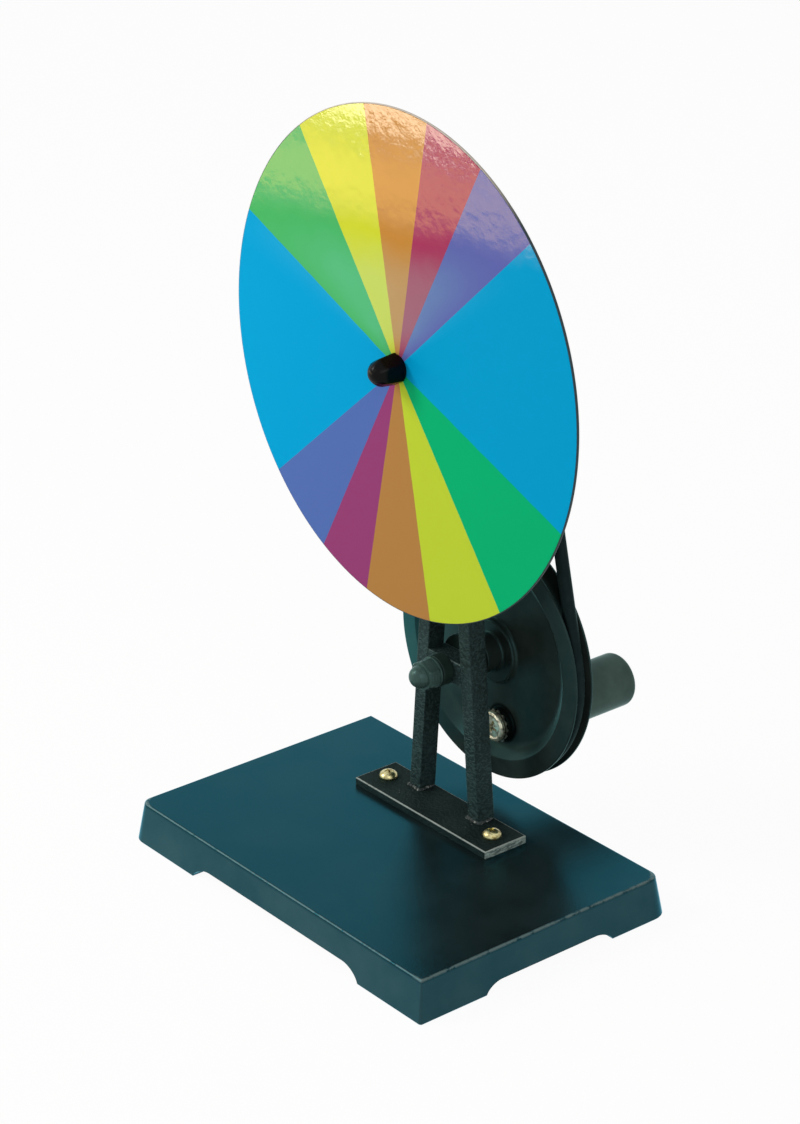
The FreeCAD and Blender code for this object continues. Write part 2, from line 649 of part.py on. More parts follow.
def make_crank():
    """Grip, sleeve, washer and screw, clamped together and turning in the wheel's web."""
    body = new_body("crank_handle", "crank_x", "handle_front", "crank_z")
    depth = "crank_screw_length + sleeve_front - crank_washer_thickness - handle_front"
    bore = "crank_screw_radius + seat_clearance"
    turn_profile(body, "grip", [(bore, "0"), ("handle_radius", "0"),
                                ("handle_radius", "handle_length"), ("0", "handle_length"),
                                ("0", depth), (bore, depth)])
    radius = number("handle_radius")
    end = number("handle_length")
    round_edges(body, "free_end", "handle_end_round", lambda edge: ring_at(edge, radius, end))
    round_edges(body, "wheel_end", "handle_front_round", lambda edge: ring_at(edge, radius, 0))

    sleeve = new_body("crank_sleeve", "crank_x", "sleeve_front", "crank_z")
    length = "handle_front - sleeve_front"
    turn_profile(sleeve, "ring", [(bore, "0"), ("sleeve_radius", "0"), ("sleeve_radius", length),
                                  (bore, length)])

    washer = new_body("crank_washer", "crank_x", "sleeve_front - crank_washer_thickness", "crank_z")
    turn_profile(washer, "ring", [(bore, "0"), ("crank_washer_radius", "0"),
                                  ("crank_washer_radius", "crank_washer_thickness"),
                                  (bore, "crank_washer_thickness")])

    screw = new_body("crank_screw", "crank_x", "sleeve_front - crank_washer_thickness", "crank_z")
    turn_profile(screw, "screw", [
        ("0", "-crank_head_height"), ("crank_head_radius", "-crank_head_height"),
        ("crank_head_radius", "0"), ("crank_screw_radius", "0"),
        ("crank_screw_radius", "crank_screw_length"), ("0", "crank_screw_length")])
    radius = number("crank_head_radius")
    front = number("-crank_head_height")
    round_edges(screw, "domed_head", "crank_head_height * 0.6",
                lambda edge: ring_at(edge, radius, front))


def make_foot_fasteners():
    """Two screws down through plate and base, each with a washer and a nut under the top wall."""
    screws = new_body("foot_screws", "screw_x", "plate_middle", "plate_top")
    screw = turn_profile(screws, "screw", [
        ("0", "foot_head_height"), ("foot_head_radius", "foot_head_height"),
        ("foot_head_radius", "0"), ("foot_screw_radius", "0"),
        ("foot_screw_radius", "-foot_screw_length"), ("0", "-foot_screw_length")], "XZ_Plane")
    repeat(screws, "pair", screw, "H_Axis", "foot_screw_spacing")
    top = number("foot_head_height")
    round_edges(screws, "domed_heads", "foot_head_round",
                lambda edge: isinstance(edge.Curve, Part.Circle) and near(edge.BoundBox.ZMin, top))

    bore = "foot_screw_radius + seat_clearance"
    washers = new_body("foot_washers", "screw_x", "plate_middle", "boss_low - foot_washer_thickness")
    washer = turn_profile(washers, "washer", [
        (bore, "0"), ("foot_washer_radius", "0"), ("foot_washer_radius", "foot_washer_thickness"),
        (bore, "foot_washer_thickness")], "XZ_Plane")
    repeat(washers, "pair", washer, "H_Axis", "foot_screw_spacing")

    nuts = new_body("foot_nuts", "screw_x", "plate_middle",
                    "boss_low - foot_washer_thickness - foot_nut_height")
    outline = new_sketch(nuts, "nut_outline", "XY_Plane")
    add_outline(outline, hexagon("foot_nut_width"))
    add_circle(outline, bore)
    nut = pad(nuts, "nut", outline, "foot_nut_height")
    repeat(nuts, "pair", nut, "H_Axis", "foot_screw_spacing")


def make_drive_belt():
    """Round belt on its centre line: two arcs about the shafts, joined by their tangents."""
    large = number("drive_pitch_radius")
    small = number("small_pitch_radius")
    low = FreeCAD.Vector(0, 0, number("axle_height"))
    high = FreeCAD.Vector(0, 0, number("spindle_height"))
    tilt = math.asin((large - small) / (high.z - low.z))
    axis = FreeCAD.Vector(0, 1, 0)
    pieces = []
    for side in (-1, 1):
        outward = FreeCAD.Vector(side * math.cos(tilt), 0, math.sin(tilt))
        start = low + outward * large
        end = high + outward * small
        length = (end - start).Length
        pieces.append(Part.makeCylinder(number("belt_diameter / 2"), length, start, end - start))
    outward = FreeCAD.Vector(math.cos(tilt), 0, math.sin(tilt))
    along = FreeCAD.Vector(-math.sin(tilt), 0, math.cos(tilt))
    turns = ((low, large, 180 + 2 * math.degrees(tilt)), (high, small, -180 + 2 * math.degrees(tilt)))
    for centre, radius, sweep in turns:
        ring = Part.Circle(centre + outward * radius, along, number("belt_diameter / 2"))
        section = Part.Face(Part.Wire(ring.toShape()))
        pieces.append(section.revolve(centre, axis, sweep))
    belt = doc.addObject("Part::Feature", "drive_belt")
    belt.Label = "drive_belt"
    belt.Shape = pieces[0].multiFuse(pieces[1:]).removeSplitter()
    belt.Placement.Base = FreeCAD.Vector(number("stand_x"), number("belt_plane"), 0)


make_base()
make_foot_plate()
make_uprights()
make_cross_bar()
make_bearings()
make_shafts()
make_drive_wheel()
make_small_pulley()
make_disc_hub()
make_grub_screws()
make_color_disc()
make_disc_knob()
make_cap_nut()
make_crank()
make_foot_fasteners()
make_drive_belt()
doc.recompute()

pieces = [item for item in doc.Objects
          if item.TypeId == "PartDesign::Body" or item.Name == "drive_belt"]
for item in doc.Objects:
    if "Invalid" in item.State or "Error" in item.State:
        raise RuntimeError(f"{item.Name} failed: {item.State}")
for piece in pieces:
    if piece.Shape.isNull() or not piece.Shape.isValid() or not piece.Shape.Solids:
        raise RuntimeError(f"{piece.Label} has no valid solid")

os.makedirs("parts", exist_ok=True)
for piece in pieces:
    piece.Shape.exportStep(f"parts/{piece.Label}.step")
    print(piece.Label, len(piece.Shape.Solids), "solids", round(piece.Shape.Volume, 1), "mm3")
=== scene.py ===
# %% [markdown]
# Newton color disc with crank
#
# A black painted stand holds a printed disc that a crank wheel spins through a round belt. The
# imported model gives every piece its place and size; this file gives the pieces their finish and
# the small forms that a hand would find: bevels, weld beads, screw recesses, threads and teeth.
# Everything is in metres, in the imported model's own frame.

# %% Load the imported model
import json
import math

import bmesh
import bpy
from mathutils import Matrix, Quaternion, Vector, noise


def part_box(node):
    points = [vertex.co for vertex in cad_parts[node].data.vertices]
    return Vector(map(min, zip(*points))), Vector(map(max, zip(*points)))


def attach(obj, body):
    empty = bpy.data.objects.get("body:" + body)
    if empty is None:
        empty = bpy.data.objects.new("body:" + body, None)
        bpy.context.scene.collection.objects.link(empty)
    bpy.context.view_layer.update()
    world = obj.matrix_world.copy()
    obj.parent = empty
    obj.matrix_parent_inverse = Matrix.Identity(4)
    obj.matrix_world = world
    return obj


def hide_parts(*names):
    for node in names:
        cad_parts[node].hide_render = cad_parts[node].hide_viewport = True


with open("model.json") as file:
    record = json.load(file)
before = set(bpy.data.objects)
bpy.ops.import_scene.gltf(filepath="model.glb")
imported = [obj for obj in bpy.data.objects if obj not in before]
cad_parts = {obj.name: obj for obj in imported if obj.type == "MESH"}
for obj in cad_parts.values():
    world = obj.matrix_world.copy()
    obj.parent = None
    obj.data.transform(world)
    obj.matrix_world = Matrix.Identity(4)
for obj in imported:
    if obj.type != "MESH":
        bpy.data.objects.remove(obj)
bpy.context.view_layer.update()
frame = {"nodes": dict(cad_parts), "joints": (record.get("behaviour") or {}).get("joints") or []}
MM = 0.001
joint_at = {joint["name"]: Vector(joint["pos_m"]) for joint in frame["joints"]}
axle_at = joint_at["crank_wheel_turn"]
crank_at = joint_at["grip_turn"]
spindle_at = joint_at["disc_spin"]
print("nodes:", len(frame["nodes"]), "axle", tuple(axle_at), "spindle", tuple(spindle_at))

# %% [markdown]
# Sizes read from the frame
#
# A turned piece is known by its radius and by where it starts and ends along Y. Both come from the
# corners of its node's box, so a change of size in the source reaches the looks by itself.

# %% Read a turned node's radius and ends
def turned_size(node):
    """(radius, front Y, rear Y) of a node that is round about a Y axis."""
    low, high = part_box(node)
    return (high.x - low.x) / 2, low.y, high.y


disc_radius, disc_front, disc_back = turned_size("color_disc")
wheel_radius, wheel_hub_front, wheel_back = turned_size("drive_wheel")
small_radius, small_hub_front = turned_size("small_pulley")[:2]
belt_low, belt_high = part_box("drive_belt")
belt_radius = (belt_high.y - belt_low.y) / 2
belt_plane = (belt_high.y + belt_low.y) / 2
drive_pitch = axle_at.z - belt_low.z - belt_radius
small_pitch = belt_high.z - spindle_at.z - belt_radius
base_low, base_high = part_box("base")
plate_low, plate_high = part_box("foot_plate")
print("belt circles (mm):", round(drive_pitch / MM, 2), round(small_pitch / MM, 2))

# %% [markdown]
# Shader maths that reads like Python
#
# A material in Blender is a graph of nodes. Building the graph by hand hides the idea behind the
# wiring, so one small class wraps an output socket and lets plain expressions such as
# `1 - mask * 0.4` add the Math nodes. Anything else comes from one method, `node`.

# %% A socket that can be used in sums
class Link:
    """An output socket of a paint's nodes."""

    def __init__(self, paint, socket):
        self.paint = paint
        self.socket = socket

    def maths(self, operation, first, second):
        return self.paint.node("ShaderNodeMath", {"operation": operation}, [first, second])

    def __add__(self, other):
        return self.maths("ADD", self, other)

    def __radd__(self, other):
        return self.maths("ADD", other, self)

    def __sub__(self, other):
        return self.maths("SUBTRACT", self, other)

    def __rsub__(self, other):
        return self.maths("SUBTRACT", other, self)

    def __mul__(self, other):
        return self.maths("MULTIPLY", self, other)

    def __rmul__(self, other):
        return self.maths("MULTIPLY", other, self)

    def __truediv__(self, other):
        return self.maths("DIVIDE", self, other)

    def most(self, other):
        return self.maths("MAXIMUM", self, other)

    def least(self, other):
        return self.maths("MINIMUM", self, other)

    def size(self):
        return self.maths("ABSOLUTE", self, 0.0)

    def root(self):
        return self.maths("SQRT", self, 0.0)

    def past(self, limit):
        """1 where it is more than a limit, else 0."""
        return self.maths("GREATER_THAN", self, limit)

    def fade(self, start, end):
        """0 up to start, 1 from end, smooth between; start may be the larger."""
        return self.paint.node("ShaderNodeMapRange", {"interpolation_type": "SMOOTHSTEP"},
                               {"Value": self, "From Min": start, "From Max": end})

# %% [markdown]
# A paint
#
# Each finish starts as Blender's Principled shader. What is the same all over is set on the
# shader's own sockets; what changes over the surface is linked in by `feed`. A second shader can be
# laid `over` the first, for a gloss that has a colour or a place of its own.

# %% A paint with its nodes
def color(red, green, blue):
    """A colour as a screen shows it, 0 to 255, turned into the linear numbers that light uses."""
    parts = [c / 255 for c in (red, green, blue)]
    linear = [c / 12.92 if c <= 0.04045 else ((c + 0.055) / 1.055) ** 2.4 for c in parts]
    return (*linear, 1.0)


class Paint:
    """A material for one of the part's slots, built up from a Principled shader."""

    def __init__(self, name, slot="", **constants):
        self.slot = slot
        self.material = bpy.data.materials.new(name)
        self.material.use_nodes = True
        self.tree = self.material.node_tree
        self.shaders = [self.tree.nodes["Principled BSDF"]]
        self.settle(self.shaders[0], constants)

    def settle(self, shader, constants):
        for socket, value in constants.items():
            shader.inputs[socket.replace("_", " ")].default_value = value

    def over(self, share, **constants):
        """Lay a second Principled shader over the first, by a share from 0 to 1."""
        top = self.tree.nodes.new("ShaderNodeBsdfPrincipled")
        self.settle(top, constants)
        blend = self.tree.nodes.new("ShaderNodeMixShader")
        self.join(share, blend.inputs[0])
        self.tree.links.new(self.shaders[0].outputs[0], blend.inputs[1])
        self.tree.links.new(top.outputs[0], blend.inputs[2])
        self.tree.links.new(blend.outputs[0], self.tree.nodes["Material Output"].inputs["Surface"])
        self.shaders.append(top)

    def node(self, kind, settings=None, values=(), output=0):
        """Add a node: its settings first, then the values or links of its sockets."""
        made = self.tree.nodes.new(kind)
        for name, setting in (settings or {}).items():
            setattr(made, name, setting)
        pairs = values.items() if isinstance(values, dict) else enumerate(values)
        for key, value in pairs:
            self.join(value, made.inputs[key])
        return Link(self, made.outputs[output])

    def join(self, value, socket):
        if isinstance(value, Link):
            self.tree.links.new(value.socket, socket)
        else:
            socket.default_value = value

    def feed(self, socket, value, layers=(0, 1)):
        """Link or set a socket of the first shader and of the one over it."""
        for layer in layers:
            if layer < len(self.shaders):
                self.join(value, self.shaders[layer].inputs[socket])
        return self

    def place(self):
        """Where a point is in the object's own frame, in metres."""
        return self.node("ShaderNodeTexCoord", output="Object")

    def parts(self, vector):
        """The X, Y and Z of a vector."""
        first = self.node("ShaderNodeSeparateXYZ", {}, [vector])
        outputs = first.socket.node.outputs
        return [Link(self, outputs[i]) for i in range(3)]

    def grain(self, cell, detail=2.0, rough=0.5, where=None, stretch=(1, 1, 1)):
        """Noise from 0 to 1 whose blotches are about one cell across, in metres."""
        scaled = self.node("ShaderNodeVectorMath", {"operation": "MULTIPLY"},
                           [where or self.place(), stretch])
        return self.node("ShaderNodeTexNoise", {},
                         {"Vector": scaled, "Scale": 1 / cell, "Detail": detail,
                          "Roughness": rough})

    def mix(self, factor, first, second):
        """A colour between two, by a factor from 0 to 1."""
        return self.node("ShaderNodeMix", {"data_type": "RGBA"},
                         {0: factor, 6: first, 7: second}, output=2)

    def emboss(self, height, depth, strength=1.0, layers=(0, 1)):
        """Bend the shading by a height map whose full range is depth, in metres."""
        bump = self.node("ShaderNodeBump", {},
                         {"Height": height, "Distance": depth, "Strength": strength})
        return self.feed("Normal", bump, layers)


# %% [markdown]
# Teal shine
#
# Every black finish here mirrors its surroundings with a teal cast, in the enamel as in the
# plastic. The Principled shader's own reflection turns white at a shallow angle, so the gloss is a
# second, metallic shader with a teal colour, mixed in by Fresnel: little of it face on, more at a
# shallow angle.

# %% A teal gloss over a black finish
TEAL = (0.02, 0.43, 0.61, 1.0)
SEA_GREY = (0.22, 0.40, 0.39, 1.0)
LACQUER_IOR = 1.45


def teal_shine(paint, roughness, amount=1.0, tint=TEAL):
    mirror = paint.node("ShaderNodeFresnel", {}, {"IOR": LACQUER_IOR})
    paint.over(mirror * amount, Metallic=1.0, Base_Color=tint)
    paint.feed("Roughness", roughness, (1,))


# %% [markdown]
# Black enamel of the base
#
# The cast base is dipped in a bluish black enamel that dries with a fine leathery skin. The skin
# is a bump of about a millimetre. The sides are duller than the top, and they are painted lighter:
# a painted difference of light between the sides and the top. The top edges are rubbed thin, so a
# pale broken line runs along them; at the short side that is turned to the light a wider, fainter
# painted highlight joins it. The line is found by height and by the distance from the sloping
# sides, whose corners are rounded by two different radii, so it follows the real edge.

# %% Base paint
BASE_DRAFT = 2.9 * MM
BASE_SLOPE = BASE_DRAFT / (base_high.z - base_low.z)
SOFT_CORNER, SHARP_CORNER = 7 * MM, 1.4 * MM


def edge_wear_and_highlight(paint, distance, width, whole=0.34):
    """A band, 1 on an edge and 0 from a width away; the lower whole is, the fewer breaks it has."""
    breaks = paint.grain(4 * MM, 4, 0.7)
    return distance.fade(width, width * 0.4) * breaks.fade(whole, whole + 0.2)


def make_base_paint():
    paint = Paint("base_enamel", "base_paint", Specular_IOR_Level=0.0)
    x, y, z = paint.parts(paint.place())
    leather = paint.grain(1.1 * MM, 3, 0.55)
    broad = paint.grain(22 * MM, 3, 0.5)
    corner = SHARP_CORNER + (SOFT_CORNER - SHARP_CORNER) * (x * y).past(0.0)
    past_x = (x.size() - base_high.x + z * BASE_SLOPE + corner).most(0.0)
    past_y = (y.size() - base_high.y + z * BASE_SLOPE + corner).most(0.0)
    out = corner - (past_x * past_x + past_y * past_y).root()
    down = base_high.z - z
    # Painted light: below the top edge the sides take a lighter colour than the top, a lit and a
    # shaded copy of one enamel.
    side = down.fade(0.5 * MM, 1.6 * MM)
    top_painted_dark = paint.mix(broad.fade(0.35, 0.68), color(23, 29, 28), color(30, 38, 37))
    side_painted_light = paint.mix(broad.fade(0.3, 0.7), color(42, 58, 60), color(54, 72, 72))
    # Painted highlight: a wider, fainter pale band along the top edge of the short side turned to
    # the light, joined to the rubbed line.
    lit_short_side = (x - base_high.x + 9 * MM).fade(0, 4 * MM)
    short_side_highlight = 0.7 * lit_short_side * edge_wear_and_highlight(paint, out.most(down), 0.95 * MM, 0.36)
    line = edge_wear_and_highlight(paint, out.most(down), 0.55 * MM, 0.3).most(short_side_highlight)
    shade = paint.mix(side, top_painted_dark, side_painted_light)
    paint.feed("Base Color", paint.mix(line * 0.5, shade, color(150, 166, 160)))
    paint.feed("Roughness", 0.6)
    teal_shine(paint, 0.2 + 0.1 * broad + 0.12 * side + 0.2 * line, 1.75)
    return paint.emboss(leather + 0.35 * paint.grain(0.35 * MM, 2), 0.045 * MM, 0.9)


base_paint = make_base_paint()

# %% [markdown]
# Wrinkle paint of the stand
#
# The uprights carry a thicker paint that puckers into short ridges. Two noises, the coarse one cut
# by a smooth step, give ridges with flat valleys, deeper than the base's skin. The ridge crests are
# painted paler, a painted highlight. On the foot plate and the cross bar the same paint is rubbed
# bright along the upper edges, and the plate's near end is scraped.

# %% Stand paints
def make_stand_paint(name, low=None, high=None, edge_width=0.0, edge_color=None, whole=0.34,
                     scraped=0.0, gloss=1.4, crest_highlight=0.4):
    """Wrinkle paint; low and high are the box of a bar whose upper edges are rubbed."""
    paint = Paint(name, "stand_paint", Specular_IOR_Level=0.0)
    ridges = paint.grain(1.25 * MM, 2, 0.6, stretch=(1, 1, 1.7)).fade(0.42, 0.62)
    fine = paint.grain(0.45 * MM, 2, 0.6)
    broad = paint.grain(15 * MM, 2)
    shade = paint.mix(broad.fade(0.3, 0.7), color(25, 34, 33), color(36, 48, 47))
    # Painted highlight: the ridge crests are painted paler, as if they catch the light.
    shade = paint.mix(ridges * crest_highlight, shade, color(68, 90, 88))
    rough = 0.4 - 0.14 * ridges + 0.06 * broad
    if edge_width:
        x, y, z = paint.parts(paint.place())
        centre, half = (low + high) / 2, (high - low) / 2
        out = (half.x - (x - centre.x).size()).least(half.y - (y - centre.y).size())
        edge = edge_wear_and_highlight(paint, out.most(high.z - z), edge_width, whole)
        shade = paint.mix(edge * 0.85, shade, edge_color)
        rough = rough - 0.1 * edge
        streaks = paint.grain(0.8 * MM, 3, 0.7, stretch=(1, 0.3, 1)).fade(0.44, 0.6)
        end = (x - centre.x).fade(half.x - 0.35 * MM, half.x - 0.15 * MM) * scraped
        shade = paint.mix(end * (0.3 + 0.7 * streaks), shade, color(176, 184, 172))
    paint.feed("Base Color", shade)
    paint.feed("Roughness", 0.6)
    teal_shine(paint, rough, gloss, SEA_GREY)
    return paint.emboss(ridges + 0.4 * fine, 0.2 * MM, 0.9)


stand_paint = make_stand_paint("stand_wrinkle")
plate_paint = make_stand_paint("plate_wrinkle", plate_low, plate_high, 0.55 * MM,
                               color(176, 184, 178), whole=0.22, scraped=1.0, gloss=0.35,
                               crest_highlight=0.05)
cross_low, cross_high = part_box("cross_bar")
cross_paint = make_stand_paint("cross_bar_wrinkle", cross_low, cross_high, 0.45 * MM,
                               color(120, 138, 134), whole=0.42)

# %% [markdown]
# Weld metal
#
# The beads at the uprights' feet were painted with the rest, but their crests are rubbed to the
# metal. A noise decides where the paint is gone: colour, roughness and metallic change together.

# %% Weld
def make_weld():
    paint = Paint("painted_weld", "stand_paint", Specular_IOR_Level=0.4)
    bare = paint.grain(1.4 * MM, 3, 0.6).fade(0.5, 0.66)
    paint.feed("Base Color", paint.mix(bare, color(30, 42, 42), color(150, 156, 150)))
    paint.feed("Metallic", bare * 0.7)
    paint.feed("Roughness", 0.5 - 0.12 * bare)
    return paint.emboss(paint.grain(0.5 * MM, 2, 0.6), 0.06 * MM, 0.7)


weld_metal = make_weld()

# %% [markdown]
# Black mouldings
#
# The wheel, small pulley, hub and grip are one family of satin black plastic. Moulded plastic is
# never quite even: it has cloudy flow marks and, on a turned form, the faint rings of the lathe
# that cut the mould. Round the crank screw the wheel is painted nearly black with less gloss, a
# painted shadow, and towards the left its gloss is tinted bluer, a painted reflection of bluish
# light from that side. The cap nut and the painted bosses are turned too, so they share the recipe
# with other numbers.

# %% Moulded plastics
# Gloss tint of a painted reflection of bluish light on the wheel's left side.
PAINTED_BLUE_LIGHT = (0.1, 0.75, 0.8, 1.0)


def make_moulding(name, slot, dark, pale, centre, rough, ring_depth, gloss, tint, stain_and_shade=None):
    """Satin plastic with flow marks and faint turned rings about an axis along Y."""
    paint = Paint(name, slot, Specular_IOR_Level=0.0)
    x, y, z = paint.parts(paint.place())
    across = x - centre.x
    above = z - centre.z
    radius = (across * across + above * above).root()
    along = paint.node("ShaderNodeCombineXYZ", {}, [radius, y, 0.0])
    rings = paint.grain(0.5 * MM, 2, 0.6, where=along)
    flow = paint.grain(11 * MM, 3, 0.55)
    shade = paint.mix(flow.fade(0.3, 0.72), dark, pale)
    # Painted shadow round the crank screw: nearly black, with less gloss.
    if stain_and_shade:
        painted_shadow = paint.node("ShaderNodeVectorMath", {"operation": "DISTANCE"},
                            [paint.place(), stain_and_shade], output=1).fade(8.2 * MM, 6.9 * MM)
        shade = paint.mix(painted_shadow * 0.85, shade, color(4, 6, 6))
        gloss = gloss * (1 - 0.8 * painted_shadow)
        # Painted reflection: the gloss is tinted bluer towards the left, for bluish light from that
        # side.
        tint = paint.mix(across.fade(-18 * MM, -44 * MM), tint, PAINTED_BLUE_LIGHT)
    paint.feed("Base Color", shade)
    paint.feed("Roughness", 0.55)
    teal_shine(paint, rough + 0.1 * flow + 0.05 * rings, gloss)
    paint.feed("Base Color", tint, (1,))
    return paint.emboss(rings + 0.5 * paint.grain(0.7 * MM), ring_depth, 0.6)


# Middle of the wheel's painted shadow round the crank screw.
painted_shadow_centre = Vector((crank_at.x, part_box("crank_sleeve")[0].y + 1.5 * MM, crank_at.z))
WHEEL_GREEN = (0.12, 0.36, 0.37, 1.0)
wheel_plastic = make_moulding("wheel_moulding", "wheel_plastic", color(31, 37, 34),
                              color(42, 50, 46), axle_at, 0.3, 0.02 * MM, 1.7, WHEEL_GREEN,
                              painted_shadow_centre)
pulley_plastic = make_moulding("pulley_moulding", "wheel_plastic", color(15, 24, 25),
                               color(24, 35, 36), spindle_at, 0.3, 0.02 * MM, 0.9, SEA_GREY)
grip_plastic = make_moulding("grip_moulding", "grip_plastic", color(66, 82, 75),
                             color(80, 98, 90), crank_at, 0.33, 0.015 * MM, 1.2, SEA_GREY)
nut_plastic = make_moulding("nut_enamel", "black_nut", color(52, 72, 67), color(68, 90, 85),
                            axle_at, 0.2, 0.02 * MM, 1.6, SEA_GREY)
boss_paint = make_moulding("boss_enamel", "stand_paint", color(26, 38, 34), color(36, 50, 45),
                           axle_at, 0.3, 0.02 * MM, 1.0, SEA_GREY)


def make_knob_plastic():
    paint = Paint("knob_moulding", "knob_plastic", Specular_IOR_Level=0.1)
    flow = paint.grain(3 * MM, 3)
    paint.feed("Base Color", paint.mix(flow, color(1, 2, 2), color(5, 6, 6)))
    paint.feed("Roughness", 0.2 + 0.12 * flow)
    return paint.emboss(paint.grain(0.6 * MM, 2), 0.02 * MM, 0.5)


knob_plastic = make_knob_plastic()

# %% [markdown]
# Belt rubber
#
# Round belting is extruded, so it has fine lines along its length and a dull bloom.

# %% Belt
def make_belt_rubber():
    paint = Paint("belt_rubber", "belt_rubber", Specular_IOR_Level=0.0)
    dust = paint.grain(6 * MM, 4, 0.6)
    fine = paint.grain(0.5 * MM, 2, 0.6)
    paint.feed("Base Color", paint.mix(dust.fade(0.4, 0.75), color(14, 21, 22), color(27, 36, 37)))
    paint.feed("Roughness", 0.6)
    teal_shine(paint, 0.42 + 0.15 * dust, 0.7, SEA_GREY)
    return paint.emboss(fine + dust, 0.03 * MM, 0.6)


belt_rubber = make_belt_rubber()

# %% [markdown]
# Metals
#
# Turned steel, bright zinc, yellow zinc and brass differ in colour and in how even their plating
# is. A metal's look is nearly all reflection, so each varies its roughness and tints its stains.

# %% Metals
def make_metal(name, slot, bright, stain_and_shade, roughness, cell, metallic=1.0):
    paint = Paint(name, slot, Metallic=metallic)
    stain = paint.grain(cell, 4, 0.6).fade(0.42, 0.72)
    scratch = paint.grain(0.25 * MM, 2, 0.7, stretch=(1, 5, 1))
    paint.feed("Base Color", paint.mix(stain, bright, stain_and_shade))
    paint.feed("Roughness", roughness + 0.18 * stain + 0.08 * scratch)
    return paint.emboss(scratch, 0.008 * MM, 0.5)


turned_steel = make_metal("turned_steel", "steel", color(170, 170, 166), color(118, 116, 110),
                          0.3, 5 * MM)
bright_zinc = make_metal("bright_zinc", "bright_steel", color(236, 234, 208),
                         color(100, 104, 88), 0.3, 1.6 * MM, metallic=0.85)
dull_zinc = make_metal("dull_zinc", "bright_steel", color(116, 120, 110), color(58, 62, 56),
                       0.4, 1.6 * MM)
yellow_zinc = make_metal("yellow_zinc", "yellow_zinc", color(206, 198, 148),
                         color(118, 104, 62), 0.22, 1.8 * MM)
brass = make_metal("turned_brass", "brass", color(200, 164, 96), color(148, 110, 58), 0.28,
                   3 * MM)

# %% [markdown]
# The printed disc
#
# The print is six colours, repeated once, so that each colour lies opposite itself. The sector is
# found from the angle round the spindle: every sector whose start lies behind that angle paints
# over the one before. A clear film lies over the ink. Most of it is bonded so well that it shows no
# gloss, but at one side of the disc it has lifted in fine crinkles, and there it mirrors the lamps:
# a second shader with the same ink, a strong gloss and a rippled normal, mixed in where the film is
# loose. Nearer the middle the upper sectors are washed paler, a painted haze of reflected light.
# The board behind is painted dark, and its edge along the top is painted pale, a painted highlight.

# %% Print under a clear film
SECTORS = [  # start angle in degrees from +X, anticlockwise seen from the front, and its colour
    (-139.4, color(84, 113, 183)), (-118.1, color(150, 66, 120)), (-101.4, color(180, 131, 72)),
    (-79.0, color(190, 212, 57)), (-53.3, color(6, 180, 116)), (-21.8, color(0, 160, 211)),
    (42.3, color(96, 103, 176)), (61.9, color(168, 50, 92)), (80.0, color(199, 136, 52)),
    (100.9, color(209, 217, 42)), (125.5, color(72, 183, 101)), (156.2, color(0, 163, 219)),
]


def make_print():
    paint = Paint("sector_print", "disc_print", Specular_IOR_Level=0.02)
    x, _, z = paint.parts(paint.place())
    wander = 0.0004 * (paint.grain(9 * MM, 2) - 0.5)
    across = x - spindle_at.x + wander
    above = z - spindle_at.z + wander
    turn = above.maths("ARCTAN2", above, across)
    ink = SECTORS[-1][1]
    for start, shade in SECTORS:
        ink = paint.mix(turn.past(math.radians(start)), ink, shade)
    cloud = paint.grain(30 * MM, 3, 0.5)
    specks = paint.grain(0.9 * MM, 3, 0.7)
    level = above - 0.1 * across + 0.01 * (paint.grain(14 * MM, 3, 0.6) - 0.5)
    # Painted haze: the upper sectors near the middle are washed paler, standing in for reflected
    # light.
    painted_haze = (level.fade(0, 14 * MM) * level.fade(50 * MM, 26 * MM)
             * turn.fade(0.6, 1.1) * turn.fade(2.9, 2.4))
    hazed_ink_with_specks = paint.mix(painted_haze * (0.1 + 0.1 * cloud), ink, color(150, 235, 230))
    hazed_ink_with_specks = paint.mix(specks.fade(0.7, 0.82) * 0.12, hazed_ink_with_specks, color(200, 232, 240))
    loose = level.fade(44 * MM, 54 * MM)
    paint.over(loose * 0.85, Specular_IOR_Level=0.5)
    paint.feed("Base Color", hazed_ink_with_specks)
    paint.feed("Roughness", 0.55 + 0.1 * cloud, (0,))
    paint.feed("Roughness", 0.06 + 0.05 * cloud, (1,))
    paint.emboss(specks, 0.02 * MM, 0.4, (0,))
    crinkle = (paint.grain(6.5 * MM, 2, 0.5) + 0.4 * paint.grain(2.2 * MM, 3, 0.6)
               + 0.1 * paint.grain(0.8 * MM, 2, 0.6))
    return paint.emboss(crinkle, 0.17 * MM, 0.6, (1,))


sector_print = make_print()


def make_disc_board():
    paint = Paint("disc_board", "stand_paint", Specular_IOR_Level=0.3)
    blot = paint.grain(18 * MM, 4, 0.6)
    x, _, z = paint.parts(paint.place())
    shade = paint.mix(blot, color(30, 46, 50), color(46, 62, 66))
    across, above = x - spindle_at.x, z - spindle_at.z
    radius = (across * across + above * above).root()
    # Painted highlight: the rim's edge along the top is painted pale, where light falls on it from
    # above.
    top_edge_highlight = (radius.fade(disc_radius - 0.4 * MM, disc_radius - 0.2 * MM)
              * above.fade(0.7 * disc_radius, 0.93 * disc_radius))
    paint.feed("Base Color", paint.mix(top_edge_highlight * 0.9, shade, color(214, 204, 190)))
    paint.feed("Roughness", 0.42 + 0.2 * blot)
    return paint.emboss(paint.grain(1.2 * MM, 3), 0.03 * MM, 0.6)


disc_board = make_disc_board()
print("paints:", len(bpy.data.materials))

# %% [markdown]
# Mesh helpers
#
# Most pieces of this object came off a lathe, so most meshes do too: an outline of radius and
# distance along the axis, with a rounding at each corner, is swept round the axis. The radius may
# also change with the turn, which gives hexagons, teeth and threads. The rest are extrusions and
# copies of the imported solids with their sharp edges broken.

